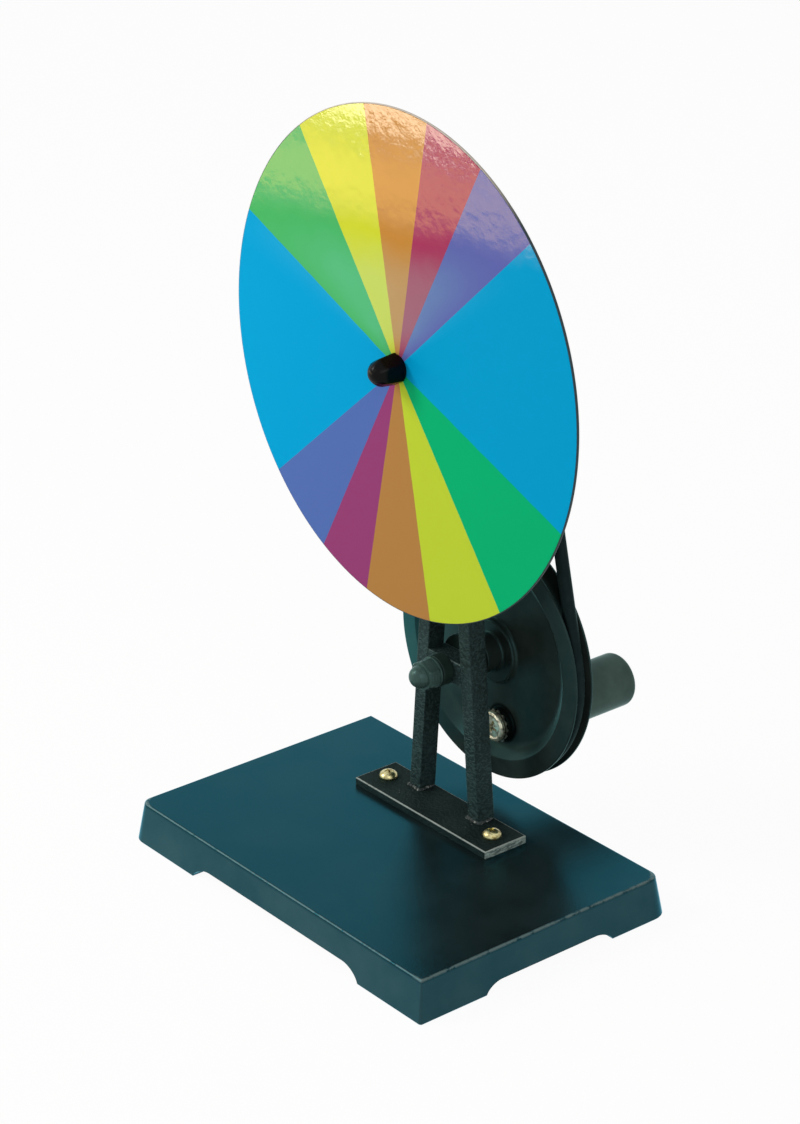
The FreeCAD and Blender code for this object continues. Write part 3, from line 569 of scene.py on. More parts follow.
# %% Turn a mesh into a finished piece
SHARP = math.radians(32)


def finish_mesh(bm, name, paint, body, replaced=()):
    """Make an object of a bmesh, shade it, dress it and let it ride on its body."""
    bmesh.ops.remove_doubles(bm, verts=bm.verts, dist=1e-7)
    bmesh.ops.recalc_face_normals(bm, faces=bm.faces)
    mesh = bpy.data.meshes.new(name)
    bm.to_mesh(mesh)
    bm.free()
    mesh.shade_smooth()
    mesh.set_sharp_from_angle(angle=SHARP)
    made = bpy.data.objects.new(name, mesh)
    bpy.context.scene.collection.objects.link(made)
    mesh.materials.append(paint.material)
    even = made.modifiers.new("even_shading", "WEIGHTED_NORMAL")
    even.keep_sharp = True
    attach(made, body)
    if replaced:
        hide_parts(*replaced)
    print(name + ":", len(mesh.polygons), "faces")


# %% Round the corners of an outline
def rounded(corners, steps=6):
    """Points of an outline from (radius, along, rounding) corners; each rounding is an arc."""
    points = []
    count = len(corners)
    for i, (r, a, rounding) in enumerate(corners):
        here = Vector((r, a))
        if rounding <= 0:
            points.append(here)
            continue
        before = (Vector(corners[i - 1][:2]) - here).normalized()
        after = (Vector(corners[(i + 1) % count][:2]) - here).normalized()
        half = before.angle(after) / 2
        reach = rounding / math.tan(half)
        middle = here + (before + after).normalized() * (rounding / math.sin(half))
        start = here + before * reach - middle
        sweep = start.angle_signed(here + after * reach - middle)
        for step in range(steps + 1):
            angle = -sweep * step / steps
            cos, sin = math.cos(angle), math.sin(angle)
            points.append(middle + Vector((start.x * cos - start.y * sin,
                                           start.x * sin + start.y * cos)))
    return points


# %% Skin a row of rings
def skin(bm, rings, closed=True):
    """Faces between neighbouring rings of vertices; a ring may also be a single vertex."""
    count = max(map(len, rings))
    following = rings[1:] + rings[:1] if closed else rings[1:]
    for low, high in zip(rings, following):
        for k in range(count):
            corners = [low[k % len(low)], low[(k + 1) % len(low)],
                       high[(k + 1) % len(high)], high[k % len(high)]]
            unique = list(dict.fromkeys(corners))
            if len(unique) > 2:
                bm.faces.new(unique)


def loft(outlines, bm=None):
    """A closed mesh through a stack of outlines that have the same number of points."""
    if bm is None:
        bm = bmesh.new()
    rings = [[bm.verts.new(point) for point in outline] for outline in outlines]
    bm.faces.new(rings[0])
    bm.faces.new(rings[-1])
    skin(bm, rings, closed=False)
    return bm


# %% Sweep an outline round an axis
def lathe(points, centre, segments=128, axis="Y", bm=None):
    """Add an outline of (radius, along) points, swept about an axis through centre, to a mesh.

    A radius or a distance along may be a function of the turn instead of a number.
    """
    if bm is None:
        bm = bmesh.new()
    rings = []
    for r, a in points:
        if not callable(r) and r < 1e-7:
            rings.append([bm.verts.new(centre + Vector((0, a, 0) if axis == "Y" else (0, 0, a)))])
            continue
        loop = []
        for k in range(segments):
            turn = 2 * math.pi * k / segments
            radius = r(turn) if callable(r) else r
            along = a(turn) if callable(a) else a
            c, s = radius * math.cos(turn), radius * math.sin(turn)
            loop.append(bm.verts.new(centre + Vector((c, along, s) if axis == "Y" else
                                                     (c, s, along))))
        rings.append(loop)
    skin(bm, rings)
    return bm


def on_axis(centre, y=0.0):
    """The point of an axis along Y at a given Y; outlines with real Y values start from 0."""
    return Vector((centre.x, y, centre.z))


def turned(name, paint, body, centre, outlines, replaced, segments=96):
    """One piece of one or more turned outlines, whose distances along are real Y values."""
    bm = bmesh.new()
    for outline in outlines:
        lathe(rounded(outline), on_axis(centre), segments, bm=bm)
    finish_mesh(bm, name, paint, body, replaced)


# %% Six sides, and threads
def six_sided(apothem, kept):
    """The radius round a hexagon as a function of the turn; of its corners, a share is kept."""
    corner = apothem / math.cos(math.pi / 6) * kept

    def radius(turn):
        from_flat = (turn + math.pi / 6) % (math.pi / 3) - math.pi / 6
        return min(apothem / math.cos(from_flat), corner)
    return radius


def thread(radius, pitch, start, end, depth=0.3 * MM):
    """Points of a real screw thread: each ring's radius rises and falls once per turn."""
    count = round((end - start) / pitch * 6)
    points = []
    for i in range(count + 1):
        along = start + (end - start) * i / count
        shrink = min(1, i / 6, (count - i) / 6)

        def crest(turn, along=along, shrink=shrink):
            phase = (along / pitch - turn / (2 * math.pi)) % 1
            return radius - depth * (1 - abs(2 * phase - 1)) * shrink - depth * 0.5 * (1 - shrink)
        points.append((crest, along))
    return points


# %% Cut one mesh out of another
def carved(bm, cutter):
    """The mesh with a closed cutter taken out of it by an exact boolean."""
    scratch = []
    for part in (bm, cutter):
        bmesh.ops.recalc_face_normals(part, faces=part.faces)
        mesh = bpy.data.meshes.new("scratch")
        part.to_mesh(mesh)
        part.free()
        thing = bpy.data.objects.new("scratch", mesh)
        bpy.context.scene.collection.objects.link(thing)
        scratch.append(thing)
    cut = scratch[0].modifiers.new("cut", "BOOLEAN")
    cut.operation = "DIFFERENCE"
    cut.solver = "EXACT"
    cut.object = scratch[1]
    shape = scratch[0].evaluated_get(bpy.context.evaluated_depsgraph_get())
    result = bmesh.new()
    result.from_mesh(shape.to_mesh())
    shape.to_mesh_clear()
    for thing in scratch:
        mesh = thing.data
        bpy.data.objects.remove(thing)
        bpy.data.meshes.remove(mesh)
    return result


def absorb(bm, other):
    """Add another mesh's faces to a mesh."""
    scratch = bpy.data.meshes.new("scratch")
    other.to_mesh(scratch)
    other.free()
    bm.from_mesh(scratch)
    bpy.data.meshes.remove(scratch)


def recess(outline, place, out, depth, above, taper):
    """A closed cutter: an outline round a place, above a surface and tapering down into it."""
    side = out.orthogonal().normalized()
    other = out.cross(side)
    return loft([[place + out * height + (side * u + other * v) * scale for u, v in outline]
                 for height, scale in ((above, 1.0), (-depth, taper))])


def cross_outline(reach, width, turn):
    """The twelve corners of a cross with four equal arms."""
    w = width / 2
    arm = [(reach, -w), (reach, w), (w, w)]
    corners = []
    for quarter in range(4):
        angle = turn + quarter * math.pi / 2
        corners += [(u * math.cos(angle) - v * math.sin(angle),
                     u * math.sin(angle) + v * math.cos(angle)) for u, v in arm]
    return corners


def hex_outline(width):
    """The six corners of a socket for a hexagon key."""
    r = width / 2 / math.cos(math.pi / 6)
    return [(r * math.cos(k * math.pi / 3), r * math.sin(k * math.pi / 3)) for k in range(6)]


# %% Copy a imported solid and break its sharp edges
def dressed(node, name, paint, bevel, limit=35):
    """A node of the stand as a clean mesh, with every sharp edge rounded by a small bevel."""
    bm = bmesh.new()
    bm.from_mesh(frame["nodes"][node].data)
    bmesh.ops.remove_doubles(bm, verts=bm.verts, dist=2e-6)
    bmesh.ops.dissolve_limit(bm, angle_limit=math.radians(1), verts=bm.verts, edges=bm.edges)
    sharp = [edge for edge in bm.edges
             if edge.is_manifold and edge.calc_face_angle(0) > math.radians(limit)]
    bmesh.ops.bevel(bm, geom=sharp, offset=bevel, segments=3, profile=0.5, affect="EDGES",
                    clamp_overlap=True)
    finish_mesh(bm, name, paint, "stand", [node])


# %% [markdown]
# The stand
#
# The base is an uneven casting: two of its corners are nearly sharp and the other two well rounded,
# and its arches sit a little off the middle with drawn-out ends. It is a stack of rounded
# rectangles, hollowed by booleans. The foot plate and the bars are sawn, so they keep the packed
# solids' shapes. Sharp computer edges give a model away, so the bars get half a millimetre of
# rounding.

# %% Base casting
def rounded_box(levels, half_x, half_y, radii, steps=9):
    """A loft of rounded rectangles: (height, inset) levels, and a radius for each corner."""
    outlines = []
    for z, inset in levels:
        outline = []
        for quarter, (sign_x, sign_y) in enumerate(((1, 1), (-1, 1), (-1, -1), (1, -1))):
            radius = max(radii[quarter] - inset, 0.3 * MM)
            for step in range(steps + 1):
                turn = (quarter + step / steps) * math.pi / 2
                outline.append((sign_x * (half_x - inset - radius) + radius * math.cos(turn),
                                sign_y * (half_y - inset - radius) + radius * math.sin(turn), z))
        outlines.append(outline)
    return loft(outlines)


def arch_cutter(low, high, top, reach, along_x):
    """A long bar with the section of two opposite arches, whose ends each rise over a reach."""
    section = []
    for end, sign in ((low, 1), (high, -1)):
        rise = [(end, -1 * MM)]
        for step in range(13):
            turn = math.pi / 2 * step / 12
            rise.append((end + sign * reach * (1 - math.cos(turn)) ** 0.75, top * math.sin(turn)))
        section += rise if sign > 0 else rise[::-1]
    return loft([[(u, far, z) if along_x else (far, u, z) for u, z in section]
                 for far in (-0.1, 0.1)])


TOP_ROUND = 1 * MM
TOP_WALL = 5 * MM
CAVITY_X, CAVITY_Y, CAVITY_CORNER = 75 * MM, 48.75 * MM, 4 * MM
SCREW_BOSS, SCREW_BOSS_HEIGHT, SCREW_HOLE = 7 * MM, 1.5 * MM, 2.25 * MM
LONG_ARCH = (-44.7 * MM, 49.7 * MM, 4.7 * MM, 9.4 * MM)
SHORT_ARCH = (-27.8 * MM, 29.4 * MM, 3.6 * MM, 7.5 * MM)
FOOT_HEAD = 3.45 * MM
screw_low, screw_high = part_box("foot_screws")
foot_spots = [Vector((x, (screw_low.y + screw_high.y) / 2, 0))
              for x in (screw_low.x + FOOT_HEAD, screw_high.x - FOOT_HEAD)]


def make_base():
    shoulder = base_high.z - TOP_ROUND
    levels = [(0, 0.3 * MM), (0.3 * MM, 0.3 * MM * BASE_SLOPE), (shoulder, shoulder * BASE_SLOPE)]
    for step in range(1, 6):
        turn = math.pi / 2 * step / 5
        levels.append((shoulder + TOP_ROUND * math.sin(turn),
                       shoulder * BASE_SLOPE + TOP_ROUND * (1 - math.cos(turn))))
    casting = rounded_box(levels, base_high.x, base_high.y,
                          (SOFT_CORNER, 1.5 * MM, SOFT_CORNER, 1.3 * MM))
    ceiling = base_high.z - TOP_WALL
    boss_end = ceiling - SCREW_BOSS_HEIGHT
    hollow = rounded_box([(-1 * MM, 0), (ceiling - 0.8 * MM, 0), (ceiling, 0.8 * MM)],
                         CAVITY_X, CAVITY_Y, [CAVITY_CORNER] * 4)
    for spot in foot_spots:
        boss = [(0, boss_end), (SCREW_BOSS, boss_end), (SCREW_BOSS, 0.02), (0, 0.02)]
        hollow = carved(hollow, lathe(boss, spot, 48, "Z"))
    casting = carved(casting, hollow)
    casting = carved(casting, arch_cutter(*LONG_ARCH, along_x=True))
    casting = carved(casting, arch_cutter(*SHORT_ARCH, along_x=False))
    for spot in foot_spots:
        hole = [(0, -0.01), (SCREW_HOLE, -0.01), (SCREW_HOLE, 0.03), (0, 0.03)]
        casting = carved(casting, lathe(hole, spot, 32, "Z"))
    finish_mesh(casting, "base_casting", base_paint, "stand", ["base"])


make_base()

# %% Foot plate, uprights and cross bar
dressed("foot_plate", "foot_strap", plate_paint, 0.2 * MM, 60)
for side in ("left", "right"):
    dressed(side + "_upright", side + "_bar", stand_paint, 0.55 * MM)
dressed("cross_bar", "axle_block", cross_paint, 0.5 * MM)

# %% [markdown]
# Bosses, spindle tube and bushes
#
# Three short tubes are welded to the bars, with a pressed brass bush at each end of each bearing.
# They are plain rings off the lathe; the broken edges of the painted tubes are softer than those
# of the brass. The front boss is turned slimmer, and the rear one starts with a wide collar.

# %% Rings on the two shafts
BUSH_BORE = 3.05 * MM
BUSH_LENGTH = 4 * MM
BUSH_SEAT = 4.52 * MM
SHAFT_FIT = 3.02 * MM
FRONT_BOSS = 5.8 * MM
COLLAR, COLLAR_LENGTH = 10 * MM, 2.4 * MM


def ring(inner, outer, front, rear, soft):
    """Outline of a ring with its four edges broken."""
    return [(inner, front, soft * 0.4), (outer, front, soft), (outer, rear, soft),
            (inner, rear, soft * 0.4)]


front, rear = turned_size("front_axle_boss")[1:]
turned("front_axle_boss_ring", boss_paint, "stand", axle_at,
       [ring(BUSH_SEAT, FRONT_BOSS, front, rear, 0.4 * MM)], ["front_axle_boss"])
outer, front, rear = turned_size("rear_axle_boss")
turned("rear_axle_boss_ring", boss_paint, "stand", axle_at,
       [[(BUSH_SEAT, front, 0), (COLLAR, front, 0.3 * MM),
         (COLLAR, front + COLLAR_LENGTH, 0.5 * MM), (outer, front + COLLAR_LENGTH, 0.8 * MM),
         (outer, rear, 0.5 * MM), (BUSH_SEAT, rear, 0.2 * MM)]], ["rear_axle_boss"])
outer, front, rear = turned_size("spindle_tube")
turned("spindle_tube_ring", stand_paint, "stand", spindle_at,
       [ring(BUSH_SEAT, outer, front, rear, 0.5 * MM)], ["spindle_tube"])
for node, centre in (("axle_bushes", axle_at), ("spindle_bushes", spindle_at)):
    outer, front, rear = turned_size(node)
    turned(node + "_pair", brass, "stand", centre,
           [ring(BUSH_BORE, outer, front, front + BUSH_LENGTH, 0.25 * MM),
            ring(BUSH_BORE, outer, rear - BUSH_LENGTH, rear, 0.25 * MM)], [node], 64)
THIN = 0.8 * MM
outer, front, rear = turned_size("axle_washers")
turned("axle_washer_rear", turned_steel, "drive_wheel", axle_at,
       [ring(SHAFT_FIT, outer, rear - THIN, rear, 0.15 * MM)], ["axle_washers"], 64)
turned("axle_washer_front", nut_plastic, "drive_wheel", axle_at,
       [ring(SHAFT_FIT, outer + 0.6 * MM, front, front + THIN, 0.15 * MM)], [], 64)
outer, front, rear = turned_size("spindle_washers")
turned("spindle_washers_pair", turned_steel, "disc_spindle", spindle_at,
       [ring(SHAFT_FIT, outer, front, front + THIN, 0.15 * MM),
        ring(SHAFT_FIT, outer, rear - THIN, rear, 0.15 * MM)], ["spindle_washers"], 64)

# %% [markdown]
# Shafts
#
# Bright turned steel with chamfered ends and the small cone that the lathe's centre left in each.

# %% Axle and spindle
SHAFT_CHAMFER, CENTRE_HOLE = 0.5 * MM, 0.8 * MM
for node, centre, body in (("axle", axle_at, "drive_wheel"),
                           ("spindle", spindle_at, "disc_spindle")):
    radius, front, rear = turned_size(node)
    outline = [(0, front + CENTRE_HOLE), (CENTRE_HOLE, front), (radius - SHAFT_CHAMFER, front),
               (radius, front + SHAFT_CHAMFER), (radius, rear - SHAFT_CHAMFER),
               (radius - SHAFT_CHAMFER, rear), (CENTRE_HOLE, rear), (0, rear - CENTRE_HOLE)]
    finish_mesh(lathe(outline, on_axis(centre), 64), node + "_rod", turned_steel, body, [node])

# %% [markdown]
# Weld beads
#
# Each upright stands on a bead of weld that runs round three of its sides. A bead is a tube along
# a path whose radius swells and shrinks with a noise, thin at both ends; a few drops of spatter
# lie beside it.

# %% Beads and spatter
def bead(bm, corners, radius, step=0.45 * MM):
    """A lumpy tube along straight runs between corners."""
    path = []
    for start, end in zip(corners, corners[1:]):
        count = max(1, round((end - start).length / step))
        path += [start.lerp(end, i / count) for i in range(count)]
    path.append(corners[-1])
    rings = []
    for i, spot in enumerate(path):
        along = (path[min(i + 1, len(path) - 1)] - path[max(i - 1, 0)]).normalized()
        side = along.cross(Vector((0, 0, 1))).normalized()
        lump = 1 + 0.35 * noise.noise(spot * 900) + 0.16 * math.sin(i * 2.1)
        taper = min(1.0, 0.35 + i / 5, 0.35 + (len(path) - 1 - i) / 5)
        size = radius * lump * taper
        turns = [2 * math.pi * k / 10 for k in range(10)]
        rings.append([spot + Vector((0, 0, size * 0.9 * math.sin(turn)))
                      + side * (size * math.cos(turn)) for turn in turns])
    loft(rings, bm)


FOOT_SPACING = 32.8 * MM
BAR_WIDTH = 5.9 * MM


def make_welds():
    bm = bmesh.new()
    level = plate_high.z + 0.15 * MM
    bar_low, bar_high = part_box("left_upright")
    for sign in (-1, 1):
        middle = axle_at.x + sign * FOOT_SPACING / 2
        reach = BAR_WIDTH / 2 + 0.1 * MM
        front = bar_low.y - 0.1 * MM
        rear = bar_high.y - 0.9 * MM
        bead(bm, [Vector((middle - reach, rear, level)), Vector((middle - reach, front, level)),
                  Vector((middle + reach, front, level)), Vector((middle + reach, rear, level))],
             0.8 * MM)
        for i in range(7):
            drop = Vector((noise.noise(Vector((i * 3.1, sign, 0.5))),
                           noise.noise(Vector((i * 2.3, sign, 7.5))), 0))
            spot = Vector((middle, front - 2.2 * MM, plate_high.z)) + drop * (7 * MM)
            size = (0.22 + 0.05 * (i % 3)) * MM
            bmesh.ops.create_icosphere(bm, subdivisions=2, radius=size,
                                       matrix=Matrix.Translation(spot))
    finish_mesh(bm, "weld_beads", weld_metal, "stand")


make_welds()

# %% [markdown]
# The drive wheel
#
# A flat rim band, a wall that slopes in to a dished web, a low boss and a hub. The belt groove has
# a round floor a little wider than the belt and walls that lean outwards. One outline holds all of
# it. The boss round the crank screw stands off the middle, so it is a second turned form, and the
# hole through the web is cut by a boolean.

# %% Outline of a grooved rim
def groove_outline(pitch, rim, half, lip):
    """Corners of a belt groove, from the front of the rim to its back."""
    floor = belt_radius + 0.3 * MM
    corners = [(rim, -half, 0.4 * MM), (rim, -floor - lip, 0.25 * MM)]
    for step in range(9):
        turn = math.pi * step / 8
        corners.append((pitch - floor * math.sin(turn), -floor * math.cos(turn), 0))
    corners += [(rim, floor + lip, 0.25 * MM), (rim, half, 0.4 * MM)]
    return corners


# %% Drive wheel
wheel_half = wheel_back - belt_plane
wheel_hub = 7.0 * MM
wheel_boss = 12.0 * MM
band_inner = wheel_radius - 7.0 * MM
web_edge = band_inner - 4.3 * MM
web_front = -wheel_half + 3.8 * MM
web_back = web_front + 2.6 * MM
boss_face = web_front - 2.0 * MM
hub_start = wheel_hub_front - belt_plane
sleeve_radius = turned_size("crank_sleeve")[0]
CRANK_BOSS = 6.3 * MM
CRANK_BOSS_HEIGHT = 2.3 * MM
wheel_corners = [
    (SHAFT_FIT, hub_start, 0.2 * MM), (wheel_hub, hub_start, 0.5 * MM),
    (wheel_hub, boss_face, 1.0 * MM), (wheel_boss, boss_face, 0.8 * MM),
    (wheel_boss, web_front, 1.1 * MM), (web_edge, web_front, 4.0 * MM),
    (band_inner, -wheel_half, 0.6 * MM),
    *groove_outline(drive_pitch, wheel_radius, wheel_half, 0.5 * MM),
    (band_inner, wheel_half, 0.45 * MM), (web_edge, web_back, 3.0 * MM),
    (wheel_boss, web_back, 0.7 * MM), (wheel_boss, wheel_half, 0.4 * MM),
    (SHAFT_FIT, wheel_half, 0.2 * MM)]


def make_wheel():
    bm = lathe(rounded(wheel_corners), on_axis(axle_at, belt_plane), 192)
    hole = lathe([(0, -0.02), (sleeve_radius + 0.05 * MM, -0.02),
                  (sleeve_radius + 0.05 * MM, 0.02), (0, 0.02)],
                 on_axis(crank_at, belt_plane), 48)
    bm = carved(bm, hole)
    rim = CRANK_BOSS - 0.1 * MM
    face = web_front - CRANK_BOSS_HEIGHT
    buried = web_front + 0.1 * MM
    outline = [(sleeve_radius + 0.05 * MM, face, 0.15 * MM), (rim, face, 0.5 * MM),
               (rim, web_front - 0.5 * MM, 0), (rim + 0.35 * MM, web_front - 0.1 * MM, 0),
               (rim + 0.5 * MM, buried, 0), (sleeve_radius + 0.05 * MM, buried, 0)]
    lathe(rounded(outline), on_axis(crank_at, belt_plane), 96, bm=bm)
    finish_mesh(bm, "crank_wheel", wheel_plastic, "drive_wheel", ["drive_wheel"])


make_wheel()

# %% [markdown]
# The small pulley, the disc's hub and the grip are turned in the same way.

# %% Small pulley, hub and grip
small_hub = 8.0 * MM
small_corners = [
    (SHAFT_FIT, small_hub_front - belt_plane, 0.2 * MM),
    (small_hub, small_hub_front - belt_plane, 0.5 * MM), (small_hub, -wheel_half, 0.6 * MM),
    *groove_outline(small_pitch, small_radius, wheel_half, 0.5 * MM),
    (SHAFT_FIT, wheel_half, 0.2 * MM)]
small_mesh = lathe(rounded(small_corners), on_axis(spindle_at, belt_plane), 128)
finish_mesh(small_mesh, "spindle_pulley", pulley_plastic, "disc_spindle", ["small_pulley"])

flange_radius, hub_front, hub_back = turned_size("disc_hub")
FLANGE_THICKNESS = 2.5 * MM
hub_neck = 7.5 * MM
turned("backing_hub", pulley_plastic, "disc_spindle", spindle_at,
       [[(SHAFT_FIT, hub_front, 0), (flange_radius, hub_front, 0.3 * MM),
         (flange_radius, hub_front + FLANGE_THICKNESS, 0.8 * MM),
         (hub_neck, hub_front + FLANGE_THICKNESS, 1.5 * MM), (hub_neck, hub_back, 0.5 * MM),
         (SHAFT_FIT, hub_back, 0.2 * MM)]], ["disc_hub"])

grip_radius, grip_front, grip_back = turned_size("crank_handle")
SCREW_FIT = 2.52 * MM
SCREW_DEPTH = 20 * MM
DISH = 6 * MM
turned("crank_grip", grip_plastic, "crank", crank_at,
       [[(SCREW_FIT, grip_front, 0.2 * MM), (grip_radius, grip_front, 0.6 * MM),
         (grip_radius, grip_back, 2.3 * MM), (DISH, grip_back, 0.5 * MM),
         (DISH - 0.6 * MM, grip_back - 0.35 * MM, 0.3 * MM), (0, grip_back - 0.45 * MM, 0),
         (0, grip_front + SCREW_DEPTH, 0), (SCREW_FIT, grip_front + SCREW_DEPTH, 0)]],
       ["crank_handle"], 128)

# %% [markdown]
# Grub screws
#
# A headless screw with a hexagon socket holds each hub to its shaft. Only its end shows, flush
# with the hub.

# %% Grub screws
GRUB_RADIUS, GRUB_START = 1.5 * MM, 3.05 * MM
KEY_WIDTH, KEY_DEPTH = 1.5 * MM, 1.4 * MM


def grub_screw(bm, centre, y, outer):
    """A grub screw upwards from a shaft to a hub's surface, with its key socket cut."""
    radius, low, chamfer = GRUB_RADIUS, GRUB_START, 0.25 * MM
    spot = Vector((centre.x, y, centre.z))
    outline = [(0, low), (radius - chamfer, low), (radius, low + chamfer),
               (radius, outer - chamfer), (radius - chamfer, outer), (0, outer)]
    screw = lathe(outline, spot, 36, "Z")
    socket = recess(hex_outline(KEY_WIDTH), spot + Vector((0, 0, outer)), Vector((0, 0, 1)),
                    KEY_DEPTH, 0.3 * MM, 0.98)
    absorb(bm, carved(screw, socket))


wheel_grub_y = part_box("wheel_grub_screw")[0].y + GRUB_RADIUS
grubs = bmesh.new()
grub_screw(grubs, axle_at, wheel_grub_y, wheel_hub)
finish_mesh(grubs, "wheel_grub", turned_steel, "drive_wheel", ["wheel_grub_screw"])
grub_low, grub_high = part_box("spindle_grub_screws")
grubs = bmesh.new()
grub_screw(grubs, spindle_at, grub_low.y + GRUB_RADIUS, hub_neck)
grub_screw(grubs, spindle_at, grub_high.y - GRUB_RADIUS, small_hub)
finish_mesh(grubs, "spindle_grubs", turned_steel, "disc_spindle", ["spindle_grub_screws"])

# %% [markdown]
# The disc's knob
#
# A six-sided knob that narrows towards a round nose. Its radius is that of a hexagon all the way,
# and the last third shrinks along a quarter of an ellipse, so the flats run out into the dome. A
# thin round collar stands between it and the disc.

# %% Knob
knob_low, knob_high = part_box("disc_knob")


def make_knob():
    base, tip = knob_high.y, knob_low.y
    length = base - tip
    wide, narrow = 5.2 * MM, 4.05 * MM
    collar, dome = 0.9 * MM, 5.2 * MM
    shoulder = length - dome
    hole_depth = 8.02 * MM
    points = [(0, base - hole_depth), (SHAFT_FIT, base - hole_depth), (SHAFT_FIT, base),
              (4.8 * MM, base), (5.0 * MM, base - 0.25 * MM),
              (5.0 * MM, base - collar + 0.2 * MM), (4.9 * MM, base - collar)]
    levels = [(collar, 0.97)]
    levels += [(collar + (shoulder - collar) * i / 8, 1.0) for i in range(1, 9)]
    for i in range(1, 12):
        turn = i / 12 * math.pi / 2
        levels.append((shoulder + dome * math.sin(turn), math.cos(turn) ** 0.8))
    for along, shrink in levels:
        apothem = (wide + (narrow - wide) * along / length) * shrink
        kept = 0.985 - 0.11 * max(0.0, (along - shoulder) / dome)
        points.append((six_sided(apothem, kept), base - along))
    points.append((0, tip))
    finish_mesh(lathe(points, on_axis(spindle_at), 96), "clamp_knob", knob_plastic,
                "disc_spindle", ["disc_knob"])


make_knob()

# %% [markdown]
# The cap nut
#
# A hexagon with its corners turned down and a dome over the thread. Both are one outline: six
# sided up to the shoulder, round from there on.

# %% Cap nut
def make_cap_nut():
    low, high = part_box("axle_cap_nut")
    base, tip = high.y, low.y
    apothem, shoulder, dome, hole_depth = 5 * MM, 4.8 * MM, 4.2 * MM, 5.8 * MM
    flats = six_sided(apothem, 0.99)
    bevelled = six_sided(apothem, 0.9)
    points = [(0, base - hole_depth), (SHAFT_FIT, base - hole_depth), (SHAFT_FIT, base),
              (bevelled, base), (flats, base - 0.45 * MM), (flats, base - shoulder + 0.6 * MM),
              (bevelled, base - shoulder), (dome + 0.1 * MM, base - shoulder)]
    rise = base - shoulder - tip
    for i in range(13):
        turn = i / 13 * math.pi / 2
        points.append((dome * math.cos(turn) ** 0.85, base - shoulder - rise * math.sin(turn)))
    points.append((0, tip))
    finish_mesh(lathe(points, on_axis(axle_at), 96), "domed_nut", nut_plastic, "drive_wheel",
                ["axle_cap_nut"])


make_cap_nut()

# %% [markdown]
# Screws with a cross recess
#
# A round head is an outline too. The recess is a tapering cross that a boolean takes out of it.
# The crank screw's head is flat with a raised rim, and under it lies a lock washer with twisted
# teeth. Below the base the foot screws show their threads, cut as a real helix.

# %% Screw heads
SHANK, HEAD_HEIGHT = 2.5 * MM, 1.7 * MM


def make_crank_screw():
    radius, _, rear = turned_size("crank_screw")
    head_base = turned_size("crank_washer")[1]
    face = head_base - HEAD_HEIGHT
    outline = [(0, rear), (2.1 * MM, rear), (SHANK, rear - 0.4 * MM), (SHANK, head_base)]
    outline += rounded([(radius, head_base, 0.2 * MM), (radius, face + 0.2 * MM, 0.5 * MM),
                        (radius - 1.0 * MM, face - 0.15 * MM, 0.4 * MM),
                        (radius - 1.7 * MM, face + 0.2 * MM, 0.3 * MM), (0, face - 0.1 * MM, 0)])
    bm = lathe(outline, on_axis(crank_at), 96)
    cutter = recess(cross_outline(3.3 * MM, 1.4 * MM, math.radians(28)),
                    Vector((crank_at.x, face, crank_at.z)), Vector((0, -1, 0)), 1.9 * MM,
                    0.8 * MM, 0.42)
    finish_mesh(carved(bm, cutter), "crank_pan_screw", bright_zinc, "crank", ["crank_screw"])


make_crank_screw()


def make_tooth_washer():
    """A lock washer whose outer teeth are twisted out of its plane."""
    outer, front, rear = turned_size("crank_washer")
    teeth = 14

    def wave(turn):
        return math.cos(turn * teeth)

    def edge(turn):
        return outer - 0.6 * MM * (0.5 - 0.5 * math.tanh(4 * wave(turn)))

    def twist(turn):
        return 0.17 * MM * math.sin(turn * teeth) * (1 if wave(turn) > 0 else 0.3)
    middle = (front + rear) / 2
    low, high = middle - 0.25 * MM, middle + 0.25 * MM
    body = 5.4 * MM
    points = [(SCREW_FIT, low), (body, low), (edge, lambda turn: low + twist(turn)),
              (edge, lambda turn: high + twist(turn)), (body, high), (SCREW_FIT, high)]
    finish_mesh(lathe(points, on_axis(crank_at), 192), "tooth_washer", dull_zinc, "crank",
                ["crank_washer"])


make_tooth_washer()

# %% Foot screws, washers and nuts
def dome_profile(radius, height, base, power=2.2, steps=12):
    """Points from a head's rim to its middle; a higher power makes a fuller dome."""
    points = [(radius * 0.97, base), (radius, base + height * 0.1)]
    for i in range(1, steps + 1):
        turn = math.pi / 2 * i / steps
        r = radius * math.cos(turn) ** (2 / power)
        a = height * (0.1 + 0.9 * math.sin(turn) ** (2 / power))
        points.append((r if i < steps else 0, base + a))
    return points


THREAD_RADIUS, THREAD_PITCH = 2 * MM, 0.7 * MM
NUT_APOTHEM, NUT_BORE, NUT_EDGE = 3.5 * MM, 2.05 * MM, 0.35 * MM


def make_foot_screws():
    bm = bmesh.new()
    head_base = plate_high.z
    for spot, turn in zip(foot_spots, (0.5, 1.1)):
        outline = [(0, screw_low.z), *thread(THREAD_RADIUS, THREAD_PITCH, screw_low.z,
                                             head_base - 0.3 * MM)]
        outline += dome_profile(FOOT_HEAD, screw_high.z - head_base, head_base)
        screw = lathe(outline, spot, 48, "Z")
        cutter = recess(cross_outline(1.9 * MM, 0.75 * MM, turn),
                        Vector((spot.x, spot.y, screw_high.z)), Vector((0, 0, 1)), 1.5 * MM,
                        0.3 * MM, 0.4)
        absorb(bm, carved(screw, cutter))
    finish_mesh(bm, "foot_cross_screws", yellow_zinc, "stand", ["foot_screws"])


make_foot_screws()


